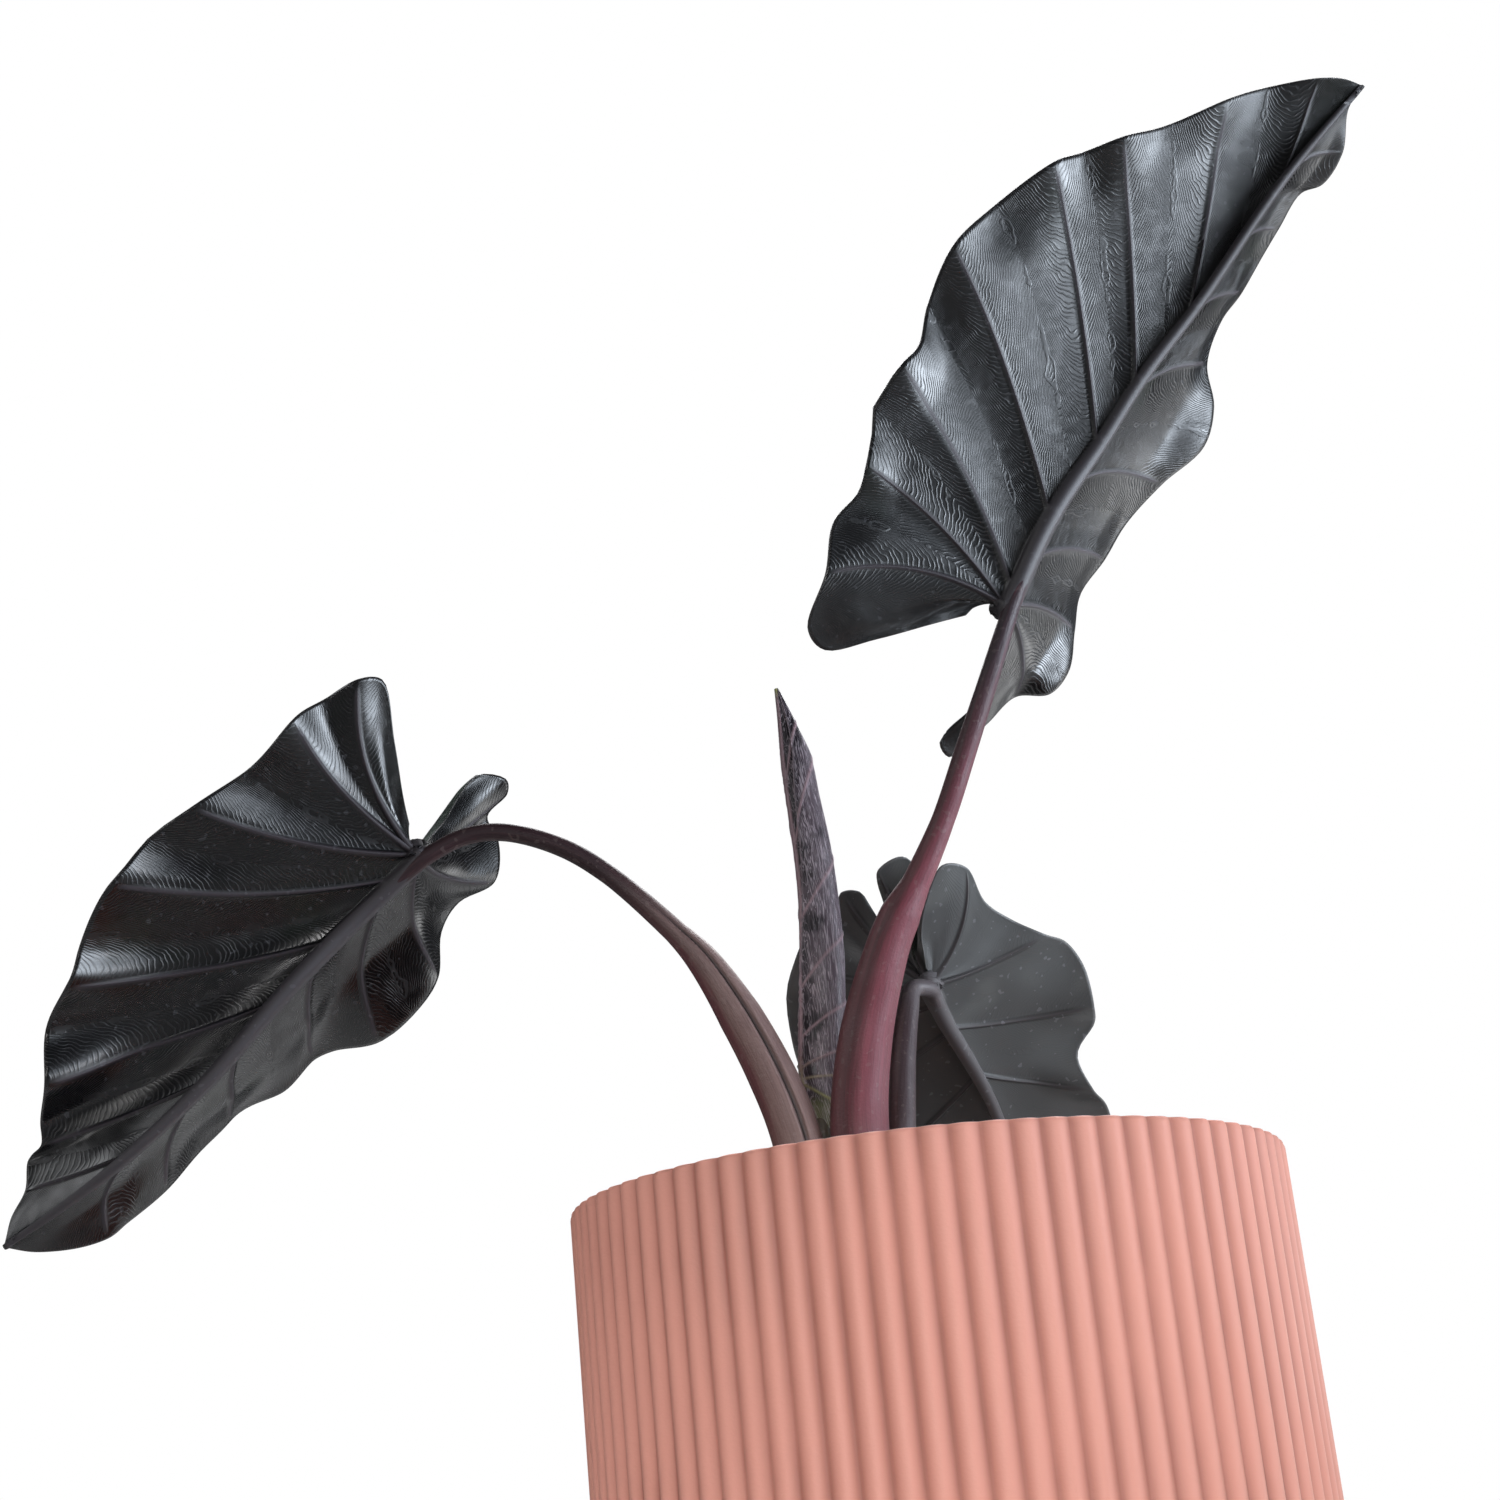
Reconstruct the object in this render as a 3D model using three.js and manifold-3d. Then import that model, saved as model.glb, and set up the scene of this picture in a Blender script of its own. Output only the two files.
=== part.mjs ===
// A potted velvet alocasia in a ribbed cover pot.
// Millimetres, +Z up. The origin is the centre of the pot's base, and -Y faces the viewer.
import * as THREE from "three";
import { mergeVertices } from "three/addons/utils/BufferGeometryUtils.js";
import Module from "manifold-3d";

const wasm = await Module();
wasm.setup();

// Driving dimensions
const GAP = 0.3; // between pieces that touch
const COVER = {
  rimRadius: 90,
  height: 165,
  taperDegrees: 1.3,
  wall: 3.6,
  floor: 4,
  ribs: 84,
  pointsPerRib: 3,
  groove: 1.1,
  edgeRound: 1.6,
  baseInset: 3.1, // of the base's edge
  crest: [1.1, 0.6], // inset of the rim's outer edge, and the grooves' share of their depth there
  mouthRound: [0.4, 1], // how far the rim's inner edge is cut back and down
};
const NURSERY = {
  height: 144,
  baseRadius: 66,
  topRadius: 78,
  wall: 1.4,
  lip: 3,
  lipHeight: 9,
  holes: 8,
  holeRadius: 5,
  holeCircle: 46,
  holeSides: 12,
  sides: 48,
};
const SOIL = {
  top: 144,
  widest: 134, // the height where its side stops widening with the grow pot
  shoulder: 1, // from the side's top up to the lumpy surface
  lump: 1.4,
  lumpLengths: [5.3, 6.1, 3.7], // of the lumps' waves along X, along Y and across both
  ringStep: 9,
  sides: 36,
};
const CROWN = {
  x: -18,
  y: 2,
  top: 149,
  sides: 20,
  // Height under the top, and radius there
  profile: [[21, 14], [15, 20], [7, 23], [2, 22.5], [0, 21]],
  lump: 0.05,
};
const BLADE = {
  thickness: 0.9,
  bow: [0.06, 0.16], // how far a vein across, and one back, bend to the tip, as a share of its length
  // The first value is for a lobe, and the second for the rest of the half
  cup: [0.02, 0.07], // how far the skin arches to its upper side, as a share of the width
  quilt: [1, 2.2], // how far the skin between two side veins stands out
  lobeReach: 20, // along the midrib, over which the first value grows into the second
  // The first value is at the stalk, and the second at the tip
  keelFoot: [2.6, 1.2], // half the midrib's width
  keelDepth: [4.2, 0.6], // how far the midrib stands out underneath
  keelStart: 0.5, // where on the midrib it stands out at once
  keelShoulder: [0.6, 0.75], // where its side turns, as shares of its half width and its depth
  keelLimit: 0.4, // the most of the blade's half that it takes
  quiltWidth: 40, // the width of a half from which its quilting is full
  veinDepth: 0.8,
  rows: 6,
  step: [1.6, 11], // the least and the most between two lines that cross the blade
};
const STALK = {
  sides: 10,
  rings: 24,
  grooveDepth: 0.38, // as a share of the radius
  grooveSharpness: 12,
  sheathFade: 0.1, // the share of the path over which the groove closes
};
const ROLL = { sides: 16, rings: 22, step: 0.16 }; // step: the free edge's, as a share of the radius

// Blades. Each is in its own frame: the origin is where the stalk joins it, +X runs to the
// tip, and +Z is its upper side. A half's margin runs from the cleft, round the lobe, to the
// tip. A margin point with a fourth number ends a side vein, which leaves the midrib there.
const BLADES = {
  blade_right: {
    at: [41, -14, 319],
    tip: [158, -52, 448],
    upper: [-0.5, 0.59, 0.63],
    midrib: [
      [0, 0, 0], [28, -2, 4], [55, 0, 7], [76, 0, 8], [104, 1, 7], [145, -1, 4], [178, 0, 0],
    ],
    halves: [
      [
        [-14, -10, 7], [-28, -20, 13], [-39, -30, 17], [-37, -37, 19], [-22, -42, 20, 0],
        [-9, -46, 25], [2, -45, 25], [9, -48, 25, 0], [17, -50, 28], [24, -53, 31],
        [37, -55, 28, 5], [45, -53, 28], [57, -55, 32], [72, -61, 30, 29], [88, -57, 32],
        [107, -53, 26, 54], [115, -47, 26], [124, -43, 20, 75], [135, -34, 19], [151, -26, 12, 101],
        [163, -17, 10], [172, -10, 5, 146], [176, -5, 2],
      ],
      [
        [-9, 13, 5], [-18, 21, 8], [-27, 25, 11], [-37, 24, 15], [-39, 28, 13], [-26, 31, 14],
        [-14, 38, 18, 0], [-8, 43, 12], [1, 45, 13], [13, 44, 20, 0], [24, 43, 26],
        [37, 44, 27, 14], [50, 44, 28], [66, 45, 26, 39], [82, 47, 22], [94, 44, 25],
        [104, 37, 31, 70], [117, 33, 32], [125, 29, 27, 98], [143, 21, 20, 122], [153, 17, 16],
        [157, 17, 10], [165, 13, 6, 150], [173, 4, 4],
      ],
    ],
  },
  blade_left: {
    at: [-125, -19, 264],
    tip: [-229, -30, 169],
    upper: [-0.62, 0.45, 0.64],
    midrib: [
      [0, 0, 0], [22, -2, 2], [48, -2, 0], [80, -3, -4], [106, -2, -5], [125, -1, -3], [141, 0, 0],
    ],
    halves: [
      [
        [-7, 11, 6], [-16, 23, 12], [-25, 36, 19], [-20, 41, 20, 0], [-10, 41, 23],
        [0, 45, 22, 0], [18, 42, 24], [34, 45, 22, 0], [50, 45, 25], [62, 45, 22, 9],
        [79, 37, 20], [87, 34, 17, 33], [98, 27, 16], [107, 21, 10, 55], [115, 10, 14],
        [119, 6, 13, 81], [124, 4, 12], [129, 2, 8, 107], [136, 1, 4],
      ],
      [
        [-6, -3, 5], [-14, -7, 11], [-23, -10, 18], [-32, -14, 24], [-37, -20, 22], [-35, -25, 23, 0],
        [-27, -29, 26], [-24, -35, 21], [-15, -40, 16, 0], [-4, -41, 21], [6, -42, 18],
        [16, -45, 9, 0], [27, -46, 5], [41, -45, 6, 12], [51, -44, 12], [56, -43, 18, 38],
        [69, -42, 14], [83, -38, 17, 68], [94, -34, 12], [107, -28, 5, 83], [118, -21, -3],
        [124, -18, -4, 107], [131, -13, -4], [137, -7, -2],
      ],
    ],
  },
  blade_back: {
    at: [8, 28, 225],
    tip: [48, 128, 128],
    upper: [-0.12, 0.72, 0.69],
    midrib: [
      [0, 0, 0], [14, 0, 4], [28, -1, 7], [43, -2, 9], [55, -2, 10], [80, 0, 10], [110, 0, 7],
      [145, 0, 0],
    ],
    halves: [
      [
        [-8, 1, 6], [-17, -3, 12], [-27, -10, 14], [-33, -8, 14], [-32, 0, 14, 0],
        [-18, 3, 17], [-15, 7, 18], [-26, 7, 18], [-28, 12, 19, 0], [-21, 17, 20],
        [-20, 27, 17], [-14, 33, 18, 0], [-2, 40, 22], [11, 44, 20, 8], [24, 46, 23],
        [36, 46, 20, 20], [50, 43, 20], [62, 41, 15, 40], [77, 37, 16], [88, 32, 11, 62],
        [100, 27, 12], [110, 22, 7, 86], [126, 12, 5], [136, 6, 2, 118],
      ],
      [
        [-8, -2, 1], [-15, -4, 2], [-23, -9, 3], [-30, -17, 5], [-25, -23, 8, 0],
        [-12, -24, 9], [-2, -29, 11], [6, -36, 10, 0], [14, -41, 14], [24, -43, 14],
        [36, -41, 12, 19], [44, -39, 15], [50, -31, 13], [60, -31, 9, 40], [71, -33, 12],
        [86, -30, 9, 62], [98, -25, 10], [110, -20, 6, 86], [124, -12, 4], [136, -6, 2, 118],
      ],
    ],
  },
};

// Stalks. Each path runs up from the crown, as x, y, z and width, and ends under its blade.
// The sheath's groove faces grooveAngle, in degrees from -Y towards +X, and closes at sheathEnd,
// a share of the path.
const STALKS = {
  petiole_left: {
    blade: "blade_left",
    grooveAngle: 24,
    sheathEnd: 0.62,
    path: [
      [-28.5, -5, 149.3, 15], [-29, -4, 165, 13.6], [-31, -4, 181, 13], [-35.5, -5.5, 196.5, 12.6],
      [-42.5, -8, 213, 11.6], [-51, -10.5, 228.5, 8.6], [-57.5, -12, 236.5, 6.3], [-73.5, -15.5, 253, 5.2],
      [-86, -17.5, 262, 5.1], [-101, -19, 267.5, 4.9], [-112, -19.5, 267.3, 4.7],
    ],
  },
  petiole_right: {
    blade: "blade_right",
    grooveAngle: 335,
    sheathEnd: 0.55,
    path: [
      [-12, -5, 149.3, 15], [-13.5, -4, 165, 15.4], [-14.5, -4, 182, 15.2], [-10.5, -5, 204, 14],
      [-2.7, -7, 226, 11.9], [2.2, -8, 235.5, 11], [7.4, -9, 243.5, 7.7], [16.6, -11, 259.6, 6.2],
      [26.3, -13, 280.8, 6], [35, -15, 300, 5.4],
    ],
  },
  petiole_back: {
    blade: "blade_back",
    grooveAngle: 180,
    sheathEnd: 0.4,
    path: [
      [-7, 12, 149.3, 8], [-6, 12, 165, 7.6], [-3.7, 12, 184, 7.2], [-1, 15, 204, 6.6],
      [1.5, 18, 216, 5.8], [3.5, 21, 222.5, 5],
    ],
  },
  new_stalk: {
    grooveAngle: 90,
    sheathEnd: 0,
    path: [[-24.5, 9, 149.3, 8], [-25, 8.5, 170, 7.4], [-24.6, 8, 190, 7], [-23.6, 7.5, 200, 7.6]],
  },
};

// The rolled new leaf stands on its own stalk, as x, y, z and width. It is flatter in depth.
const NEW_LEAF = {
  depth: 0.78,
  edgeAngle: [250, 380], // where the free edge runs, at the foot and at the tip
  path: [
    [-23.5, 7.5, 200.4, 8], [-22.8, 7, 206, 11.5], [-21.4, 7, 217, 13.4], [-20.4, 7, 231, 13.8],
    [-19.8, 7, 248, 12.4], [-20.1, 6, 262, 11.6], [-21.2, 6, 277, 10], [-22, 6, 290, 7.6],
    [-23.8, 6, 303, 3.6], [-25.4, 6, 311, 1.2],
  ],
};

const FINISH = {
  terracotta: { color: 0xd89a88, roughness: 0.75 },
  growPot: { color: 0x1c1c1e, roughness: 0.5 },
  soil: { color: 0x2e221b, roughness: 0.95 },
  crown: { color: 0x5a4436, roughness: 0.85 },
  burgundy: { color: 0x6d4048, roughness: 0.5 },
  greyStalk: { color: 0x46343a, roughness: 0.5 },
  bladeDark: { color: 0x2c2d31, roughness: 0.45 },
  rolled: { color: 0x4b4046, roughness: 0.5 },
  paleGreen: { color: 0x8c9148, roughness: 0.55 },
};

const radians = THREE.MathUtils.degToRad;
const vector = (p) => new THREE.Vector3(p[0], p[1], p[2]);
const spline = (points) => new THREE.CatmullRomCurve3(points.map(vector), false, "centripetal");
const mix = ([a, b], t) => a + (b - a) * t;

/** The value at x of a broken line through [x, y] pairs in rising order. */
function along(pairs, x) {
  const i = pairs.findIndex((p, k) => k > 0 && x <= p[0]);
  const [[x0, y0], [x1, y1]] = [pairs[i - 1], pairs[i]];
  return y0 + ((x - x0) / (x1 - x0)) * (y1 - y0);
}

/** A path's width at a share of its way. */
function widthAt(path, t) {
  const marks = path.map((p, i) => [i / (path.length - 1), p[3]]);
  return along(marks, t);
}

/** A closed mesh's geometry with shared vertices merged and its faces turned outwards. */
function closed(geometry) {
  const bare = new THREE.BufferGeometry();
  bare.setAttribute("position", geometry.getAttribute("position"));
  bare.setIndex(geometry.index);
  const merged = mergeVertices(bare, 1e-3);
  const place = merged.getAttribute("position");
  const corner = (i) => new THREE.Vector3().fromBufferAttribute(place, i);
  const kept = [];
  let volume = 0;
  for (let i = 0; i < merged.index.count; i += 3) {
    const [a, b, c] = merged.index.array.slice(i, i + 3);
    if (a === b || b === c || c === a) continue;
    kept.push(a, b, c);
    volume += corner(a).dot(corner(b).cross(corner(c)));
  }
  if (volume < 0) kept.reverse();
  merged.setIndex(kept);
  return merged;
}

/** A geometry from lists of points and of triangles. */
function geometryOf(points, triangles) {
  const made = new THREE.BufferGeometry();
  made.setAttribute("position", new THREE.Float32BufferAttribute(points.flatMap((p) => p.toArray()), 3));
  made.setIndex(triangles);
  return made;
}

/** A closed skin over rings of as many points each, capped flat at both ends. */
function skin(rings) {
  const sides = rings[0].length;
  const points = rings.flat();
  const triangles = [];
  const middle = (ring) => ring.reduce((sum, p) => sum.add(p), new THREE.Vector3()).divideScalar(sides);
  for (let r = 0; r + 1 < rings.length; r++) {
    for (let i = 0; i < sides; i++) {
      const a = r * sides + i;
      const b = r * sides + ((i + 1) % sides);
      triangles.push(a, b, b + sides, a, b + sides, a + sides);
    }
  }
  const first = points.push(middle(rings[0])) - 1;
  const last = points.push(middle(rings[rings.length - 1])) - 1;
  const top = (rings.length - 1) * sides;
  for (let i = 0; i < sides; i++) {
    const j = (i + 1) % sides;
    triangles.push(first, j, i, last, top + i, top + j);
  }
  return closed(geometryOf(points, triangles));
}

/** A turned solid about +Z from radius and height pairs, which start and end on the axis. */
function turned(profile, sides) {
  const lathe = new THREE.LatheGeometry(profile.map(([r, z]) => new THREE.Vector2(r, z)), sides);
  return closed(lathe.rotateX(Math.PI / 2));
}

/** What is left of one closed geometry when another is cut from it. */
function cut(from, tool) {
  const [body, cutter] = [from, tool].map((geometry) => {
    const place = geometry.getAttribute("position").array;
    return new wasm.Manifold(
      new wasm.Mesh({ numProp: 3, vertProperties: place, triVerts: new Uint32Array(geometry.index.array) }),
    );
  });
  const left = body.subtract(cutter).getMesh();
  const made = new THREE.BufferGeometry();
  made.setAttribute("position", new THREE.Float32BufferAttribute(left.vertProperties, 3));
  made.setIndex([...left.triVerts]);
  return made;
}

/** The cover pot: upright half-round ribs outside, smooth inside, and a flat closed base. */
function coverPot() {
  const sides = COVER.ribs * COVER.pointsPerRib;
  const lean = Math.tan(radians(COVER.taperDegrees));
  const outer = (z) => COVER.rimRadius - (COVER.height - z) * lean;
  const ring = (z, inset, ribShare) =>
    Array.from({ length: sides }, (_, i) => {
      const part = (i % COVER.pointsPerRib) / COVER.pointsPerRib;
      const dip = COVER.groove * ribShare * (1 - Math.sin(Math.PI * part));
      const radius = outer(z) - inset - dip;
      const angle = (2 * Math.PI * i) / sides;
      return new THREE.Vector3(radius * Math.sin(angle), -radius * Math.cos(angle), z);
    });
  const { height, edgeRound, baseInset, crest, mouthRound, wall, floor } = COVER;
  return skin([
    ring(0, baseInset, 0),
    ring(edgeRound, 0, 1),
    ring(height - edgeRound, 0, 1),
    ring(height, ...crest),
    ring(height, wall - mouthRound[0], 0),
    ring(height - mouthRound[1], wall, 0),
    ring(floor, wall, 0),
  ]);
}

/** The grow pot inside: thin, tapered, with a stepped lip and drainage holes in its base. */
function nurseryPot() {
  const { height, baseRadius, topRadius, wall, lip, lipHeight, holeRadius, sides } = NURSERY;
  const foot = COVER.floor + GAP;
  const top = foot + height;
  const step = top - lipHeight;
  let shell = turned(
    [
      [0, foot], [baseRadius, foot], [topRadius, step], [topRadius + lip, step],
      [topRadius + lip, top], [topRadius + lip - wall, top],
      [topRadius + lip - wall, step + wall], [topRadius - wall, step + wall],
      [baseRadius - wall, foot + wall], [0, foot + wall],
    ],
    sides,
  );
  for (let i = 0; i < NURSERY.holes; i++) {
    const angle = (2 * Math.PI * i) / NURSERY.holes;
    const drill = new THREE.CylinderGeometry(holeRadius, holeRadius, 4 * wall, NURSERY.holeSides);
    drill.rotateX(Math.PI / 2);
    drill.translate(NURSERY.holeCircle * Math.cos(angle), NURSERY.holeCircle * Math.sin(angle), foot);
    shell = cut(shell, closed(drill));
  }
  return shell;
}

/** The crown that the stalks grow from: a low lumpy knob with a flat top, wider by grow. */
function crownRings(grow) {
  return CROWN.profile.map(([under, radius], level) =>
    Array.from({ length: CROWN.sides }, (_, i) => {
      const angle = (2 * Math.PI * i) / CROWN.sides;
      const r = radius * (1 + CROWN.lump * Math.sin(5 * angle + level)) + grow;
      const z = CROWN.top - under - (level === 0 ? grow : 0);
      return new THREE.Vector3(CROWN.x + r * Math.cos(angle), CROWN.y + r * Math.sin(angle), z);
    }),
  );
}

/** How high the soil's lumps stand at a place. */
function soilLump(x, y) {
  const [alongX, alongY, acrossBoth] = SOIL.lumpLengths;
  return SOIL.lump * (Math.sin(x / alongX) * Math.cos(y / alongY) + Math.sin((x + y) / acrossBoth) / 2);
}

/** The soil: it fills the grow pot, is lumpy on top, and has a plain hole for the crown. */
function soilBody() {
  const foot = COVER.floor + NURSERY.wall + 2 * GAP;
  const slope = (NURSERY.topRadius - NURSERY.baseRadius) / (NURSERY.height - NURSERY.lipHeight);
  const low = NURSERY.baseRadius - NURSERY.wall - 2 * GAP;
  const high = low + (SOIL.widest - foot) * slope;
  const profile = [[0, foot], [low, foot], [high, SOIL.widest], [high, SOIL.top - SOIL.shoulder]];
  for (let r = high - SOIL.ringStep; r > SOIL.ringStep / 2; r -= SOIL.ringStep) profile.push([r, SOIL.top]);
  profile.push([0, SOIL.top]);
  const body = turned(profile, SOIL.sides);
  const place = body.getAttribute("position");
  for (let i = 0; i < place.count; i++) {
    if (place.getZ(i) < SOIL.top) continue;
    place.setZ(i, SOIL.top + soilLump(place.getX(i), place.getY(i)));
  }
  const hole = crownRings(GAP);
  hole.push(hole[hole.length - 1].map((p) => p.clone().setZ(COVER.height)));
  return cut(body, skin(hole));
}

/** The turning of a blade's own frame into the plant's. */
function bladeFrame(blade) {
  const x = vector(blade.tip).sub(vector(blade.at)).normalize();
  const y = vector(blade.upper).cross(x).normalize();
  return new THREE.Matrix4().makeBasis(x, y, x.clone().cross(y));
}

/** One half of a blade: where its side veins end and start, and its points. */
function bladeHalf(midrib, margin) {
  const length = midrib.getLength();
  const edge = spline([[0, 0, 0], ...margin, midrib.getPoint(1).toArray()]);
  const last = margin.length + 1;
  const veins = margin.flatMap((p, i) => (p.length > 3 ? [{ mark: i + 1, root: p[3] }] : []));
  const fanEnd = Math.max(...veins.filter((v) => v.root === 0).map((v) => v.mark));
  const marks = [0, ...veins.map((v) => v.mark), last];
  const rooted = veins.filter((v) => v.root > 0);
  const roots = [[0, fanEnd], ...rooted.map((v) => [v.root, v.mark]), [length, last]];

  /** A line across the half, from the midrib to a place on the margin. */
  function line(mark, root) {
    const from = midrib.getPointAt(root / length);
    const to = edge.getPoint(mark / last);
    const width = from.distanceTo(to);
    const heading = to.clone().sub(from).normalize();
    const bend = new THREE.Vector3(1, 0, 0).addScaledVector(heading, -heading.x).normalize();
    const bow = mix(BLADE.bow, Math.max(0, -heading.x));
    const next = Math.max(1, marks.findIndex((m) => mark <= m));
    const between = (mark - marks[next - 1]) / (marks[next] - marks[next - 1]);
    const isVein = veins.some((v) => v.mark === mark);
    const foot = Math.min(BLADE.keelLimit, mix(BLADE.keelFoot, root / length) / width);
    const keel = root > 0 ? mix(BLADE.keelDepth, root / length) : 0;
    const shares = [[0, keel], [BLADE.keelShoulder[0] * foot, BLADE.keelShoulder[1] * keel]];
    for (let row = 0; row <= BLADE.rows; row++) {
      const v = mix([foot, 1], row / BLADE.rows);
      shares.push([v, isVein ? BLADE.veinDepth * (1 - v) : 0]);
    }
    const reach = Math.min(1, root / BLADE.lobeReach);
    const narrow = Math.min(1, width / BLADE.quiltWidth);
    const quilt = mix(BLADE.quilt, reach) * Math.sin(Math.PI * between) ** 2 * narrow;
    return shares.map(([v, depth]) => {
      const arch = 4 * v * (1 - v);
      const point = from.clone().lerp(to, v);
      point.addScaledVector(bend, bow * width * arch);
      point.z += (mix(BLADE.cup, reach) * width + quilt) * arch;
      return { point, depth };
    });
  }

  const rootOf = roots.map(([root, mark]) => [mark, root]);
  const beyond = margin.map((_, i) => i + 1).filter((mark) => mark > fanEnd);
  return {
    veins: veins.map((v) => v.root),
    marks: beyond.map((mark) => along(rootOf, mark)),
    fan: Array.from({ length: fanEnd }, (_, i) => line(i + 1, 0)),
    at: (root) => line(along(roots, root), root),
  };
}

/** Where lines cross the midrib: at each side vein, then at other margin points with room. */
function stationsOf(halves, length) {
  const [least, most] = BLADE.step;
  const kept = [BLADE.keelStart, ...halves.flatMap((h) => h.veins).filter((r) => r > BLADE.keelStart)];
  for (const root of [length - least, ...halves.flatMap((h) => h.marks)]) {
    if (kept.every((r) => Math.abs(r - root) >= least)) kept.push(root);
  }
  const ends = [...new Set(kept)].sort((a, b) => a - b);
  const stations = [ends[0]];
  for (let i = 1; i < ends.length; i++) {
    const parts = Math.ceil((ends[i] - ends[i - 1]) / most);
    for (let k = 1; k <= parts; k++) stations.push(mix([ends[i - 1], ends[i]], k / parts));
  }
  return stations;
}

/** A blade as a closed solid: a quilted, waved skin with its midrib and veins underneath. */
function bladeBody(blade) {
  const midrib = spline(blade.midrib);
  const halves = blade.halves.map((margin) => bladeHalf(midrib, margin));
  const stations = stationsOf(halves, midrib.getLength());
  const points = [];
  const depths = [];
  const triangles = [];
  const add = ({ point, depth }) => {
    depths.push(depth);
    return points.push(point) - 1;
  };
  halves.forEach((half, side) => {
    const lines = [...half.fan, ...stations.map((root) => half.at(root))].map((l) => l.map(add));
    const tip = add({ point: midrib.getPoint(1), depth: 0 });
    lines.push(lines[0].map(() => tip));
    for (let i = 0; i + 1 < lines.length; i++) {
      for (let j = 0; j + 1 < lines[i].length; j++) {
        const [a, b, c, d] = [lines[i][j], lines[i][j + 1], lines[i + 1][j + 1], lines[i + 1][j]];
        triangles.push(...(side === 0 ? [a, b, c, a, c, d] : [a, c, b, a, d, c]));
      }
    }
  });
  return thickened(points, depths, triangles);
}

/** A thin solid on both sides of a sheet of triangles, alike on both faces. */
function thickened(points, depths, triangles) {
  const raw = geometryOf(points, triangles);
  raw.setAttribute("depth", new THREE.Float32BufferAttribute(depths, 1));
  const sheet = mergeVertices(raw, 1e-3);
  const faces = [];
  for (let i = 0; i < sheet.index.count; i += 3) {
    const face = [...sheet.index.array.slice(i, i + 3)];
    if (new Set(face).size === 3) faces.push(face);
  }
  sheet.setIndex(faces.flat());
  sheet.computeVertexNormals();
  const [place, normal, depth] = ["position", "normal", "depth"].map((n) => sheet.getAttribute(n));
  const lean = Array.from({ length: normal.count }, (_, i) => normal.getZ(i));
  const upwards = Math.sign(lean.reduce((a, b) => a + b));
  const moved = (i, by) =>
    new THREE.Vector3().fromBufferAttribute(place, i).addScaledVector(
      new THREE.Vector3().fromBufferAttribute(normal, i),
      by * upwards,
    );
  const both = [];
  for (let i = 0; i < place.count; i++) both.push(moved(i, BLADE.thickness / 2));
  for (let i = 0; i < place.count; i++) both.push(moved(i, -BLADE.thickness / 2 - depth.getX(i)));
  const solid = [];
  const open = new Map();
  for (const [a, b, c] of faces) {
    solid.push(a, b, c, a + place.count, c + place.count, b + place.count);
    for (const [from, to] of [[a, b], [b, c], [c, a]]) {
      if (!open.delete(to + " " + from)) open.set(from + " " + to, [from, to]);
    }
  }
  for (const [from, to] of open.values()) {
    solid.push(to, from, from + place.count, to, from + place.count, to + place.count);
  }
  return closed(geometryOf(both, solid));
}

/** Where a stalk ends: behind the midrib's foot, under the blade, heading the midrib's way. */
function stalkEnd(blade) {
  const frame = bladeFrame(blade);
  const heading = spline(blade.midrib).getTangent(0).applyMatrix4(frame);
  const under = -(BLADE.thickness + BLADE.keelDepth[0]) / 2 - 2 * GAP;
  const place = new THREE.Vector3(-GAP, 0, under).applyMatrix4(frame).add(vector(blade.at));
  return { place, heading };
}

/** A ring of points about a path, with the section's radius given for each angle. */
function ringAcross(centre, heading, sides, radiusAt) {
  const across = new THREE.Vector3(0, -1, 0);
  across.addScaledVector(heading, -across.dot(heading)).normalize();
  const other = heading.clone().cross(across);
  return Array.from({ length: sides }, (_, i) => {
    const angle = (2 * Math.PI * i) / sides;
    const radius = radiusAt(angle);
    return centre
      .clone()
      .addScaledVector(across, radius * Math.cos(angle))
      .addScaledVector(other, radius * Math.sin(angle));
  });
}

/** A leaf stalk: round above, with the sheath's groove below, and a flat foot. */
function stalkBody(stalk) {
  const end = stalk.blade ? stalkEnd(BLADES[stalk.blade]) : null;
  const width = 2 * BLADE.keelFoot[0] - 2 * GAP;
  const path = end ? [...stalk.path, [...end.place.toArray(), width]] : stalk.path;
  const centreline = spline(path);
  const groove = radians(stalk.grooveAngle);
  const rings = [];
  for (let i = 0; i <= STALK.rings; i++) {
    const t = i / STALK.rings;
    let heading = centreline.getTangent(t);
    if (i === 0) heading = new THREE.Vector3(0, 0, 1);
    if (i === STALK.rings) heading = end ? end.heading : heading;
    const open = Math.max(0, Math.min(1, (stalk.sheathEnd - t) / STALK.sheathFade));
    rings.push(
      ringAcross(centreline.getPoint(t), heading, STALK.sides, (angle) => {
        const near = Math.max(0, Math.cos(angle - groove)) ** STALK.grooveSharpness;
        return (widthAt(path, t) / 2) * (1 - STALK.grooveDepth * open * near);
      }),
    );
  }
  return skin(rings);
}

/** The new leaf, rolled round itself: its free edge runs up it as a step in the section. */
function newLeafBody() {
  const centreline = spline(NEW_LEAF.path);
  const rings = [];
  for (let i = 0; i <= ROLL.rings; i++) {
    const t = i / ROLL.rings;
    const edge = radians(mix(NEW_LEAF.edgeAngle, t));
    const half = widthAt(NEW_LEAF.path, t) / 2;
    const heading = i === 0 ? new THREE.Vector3(0, 0, 1) : centreline.getTangent(t);
    rings.push(
      ringAcross(centreline.getPoint(t), heading, ROLL.sides, (angle) => {
        const turn = THREE.MathUtils.euclideanModulo(angle - edge, 2 * Math.PI) / (2 * Math.PI);
        const flat = Math.hypot(NEW_LEAF.depth * Math.cos(angle), Math.sin(angle));
        return half * flat * (1 - ROLL.step * turn);
      }),
    );
  }
  return skin(rings);
}

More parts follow.
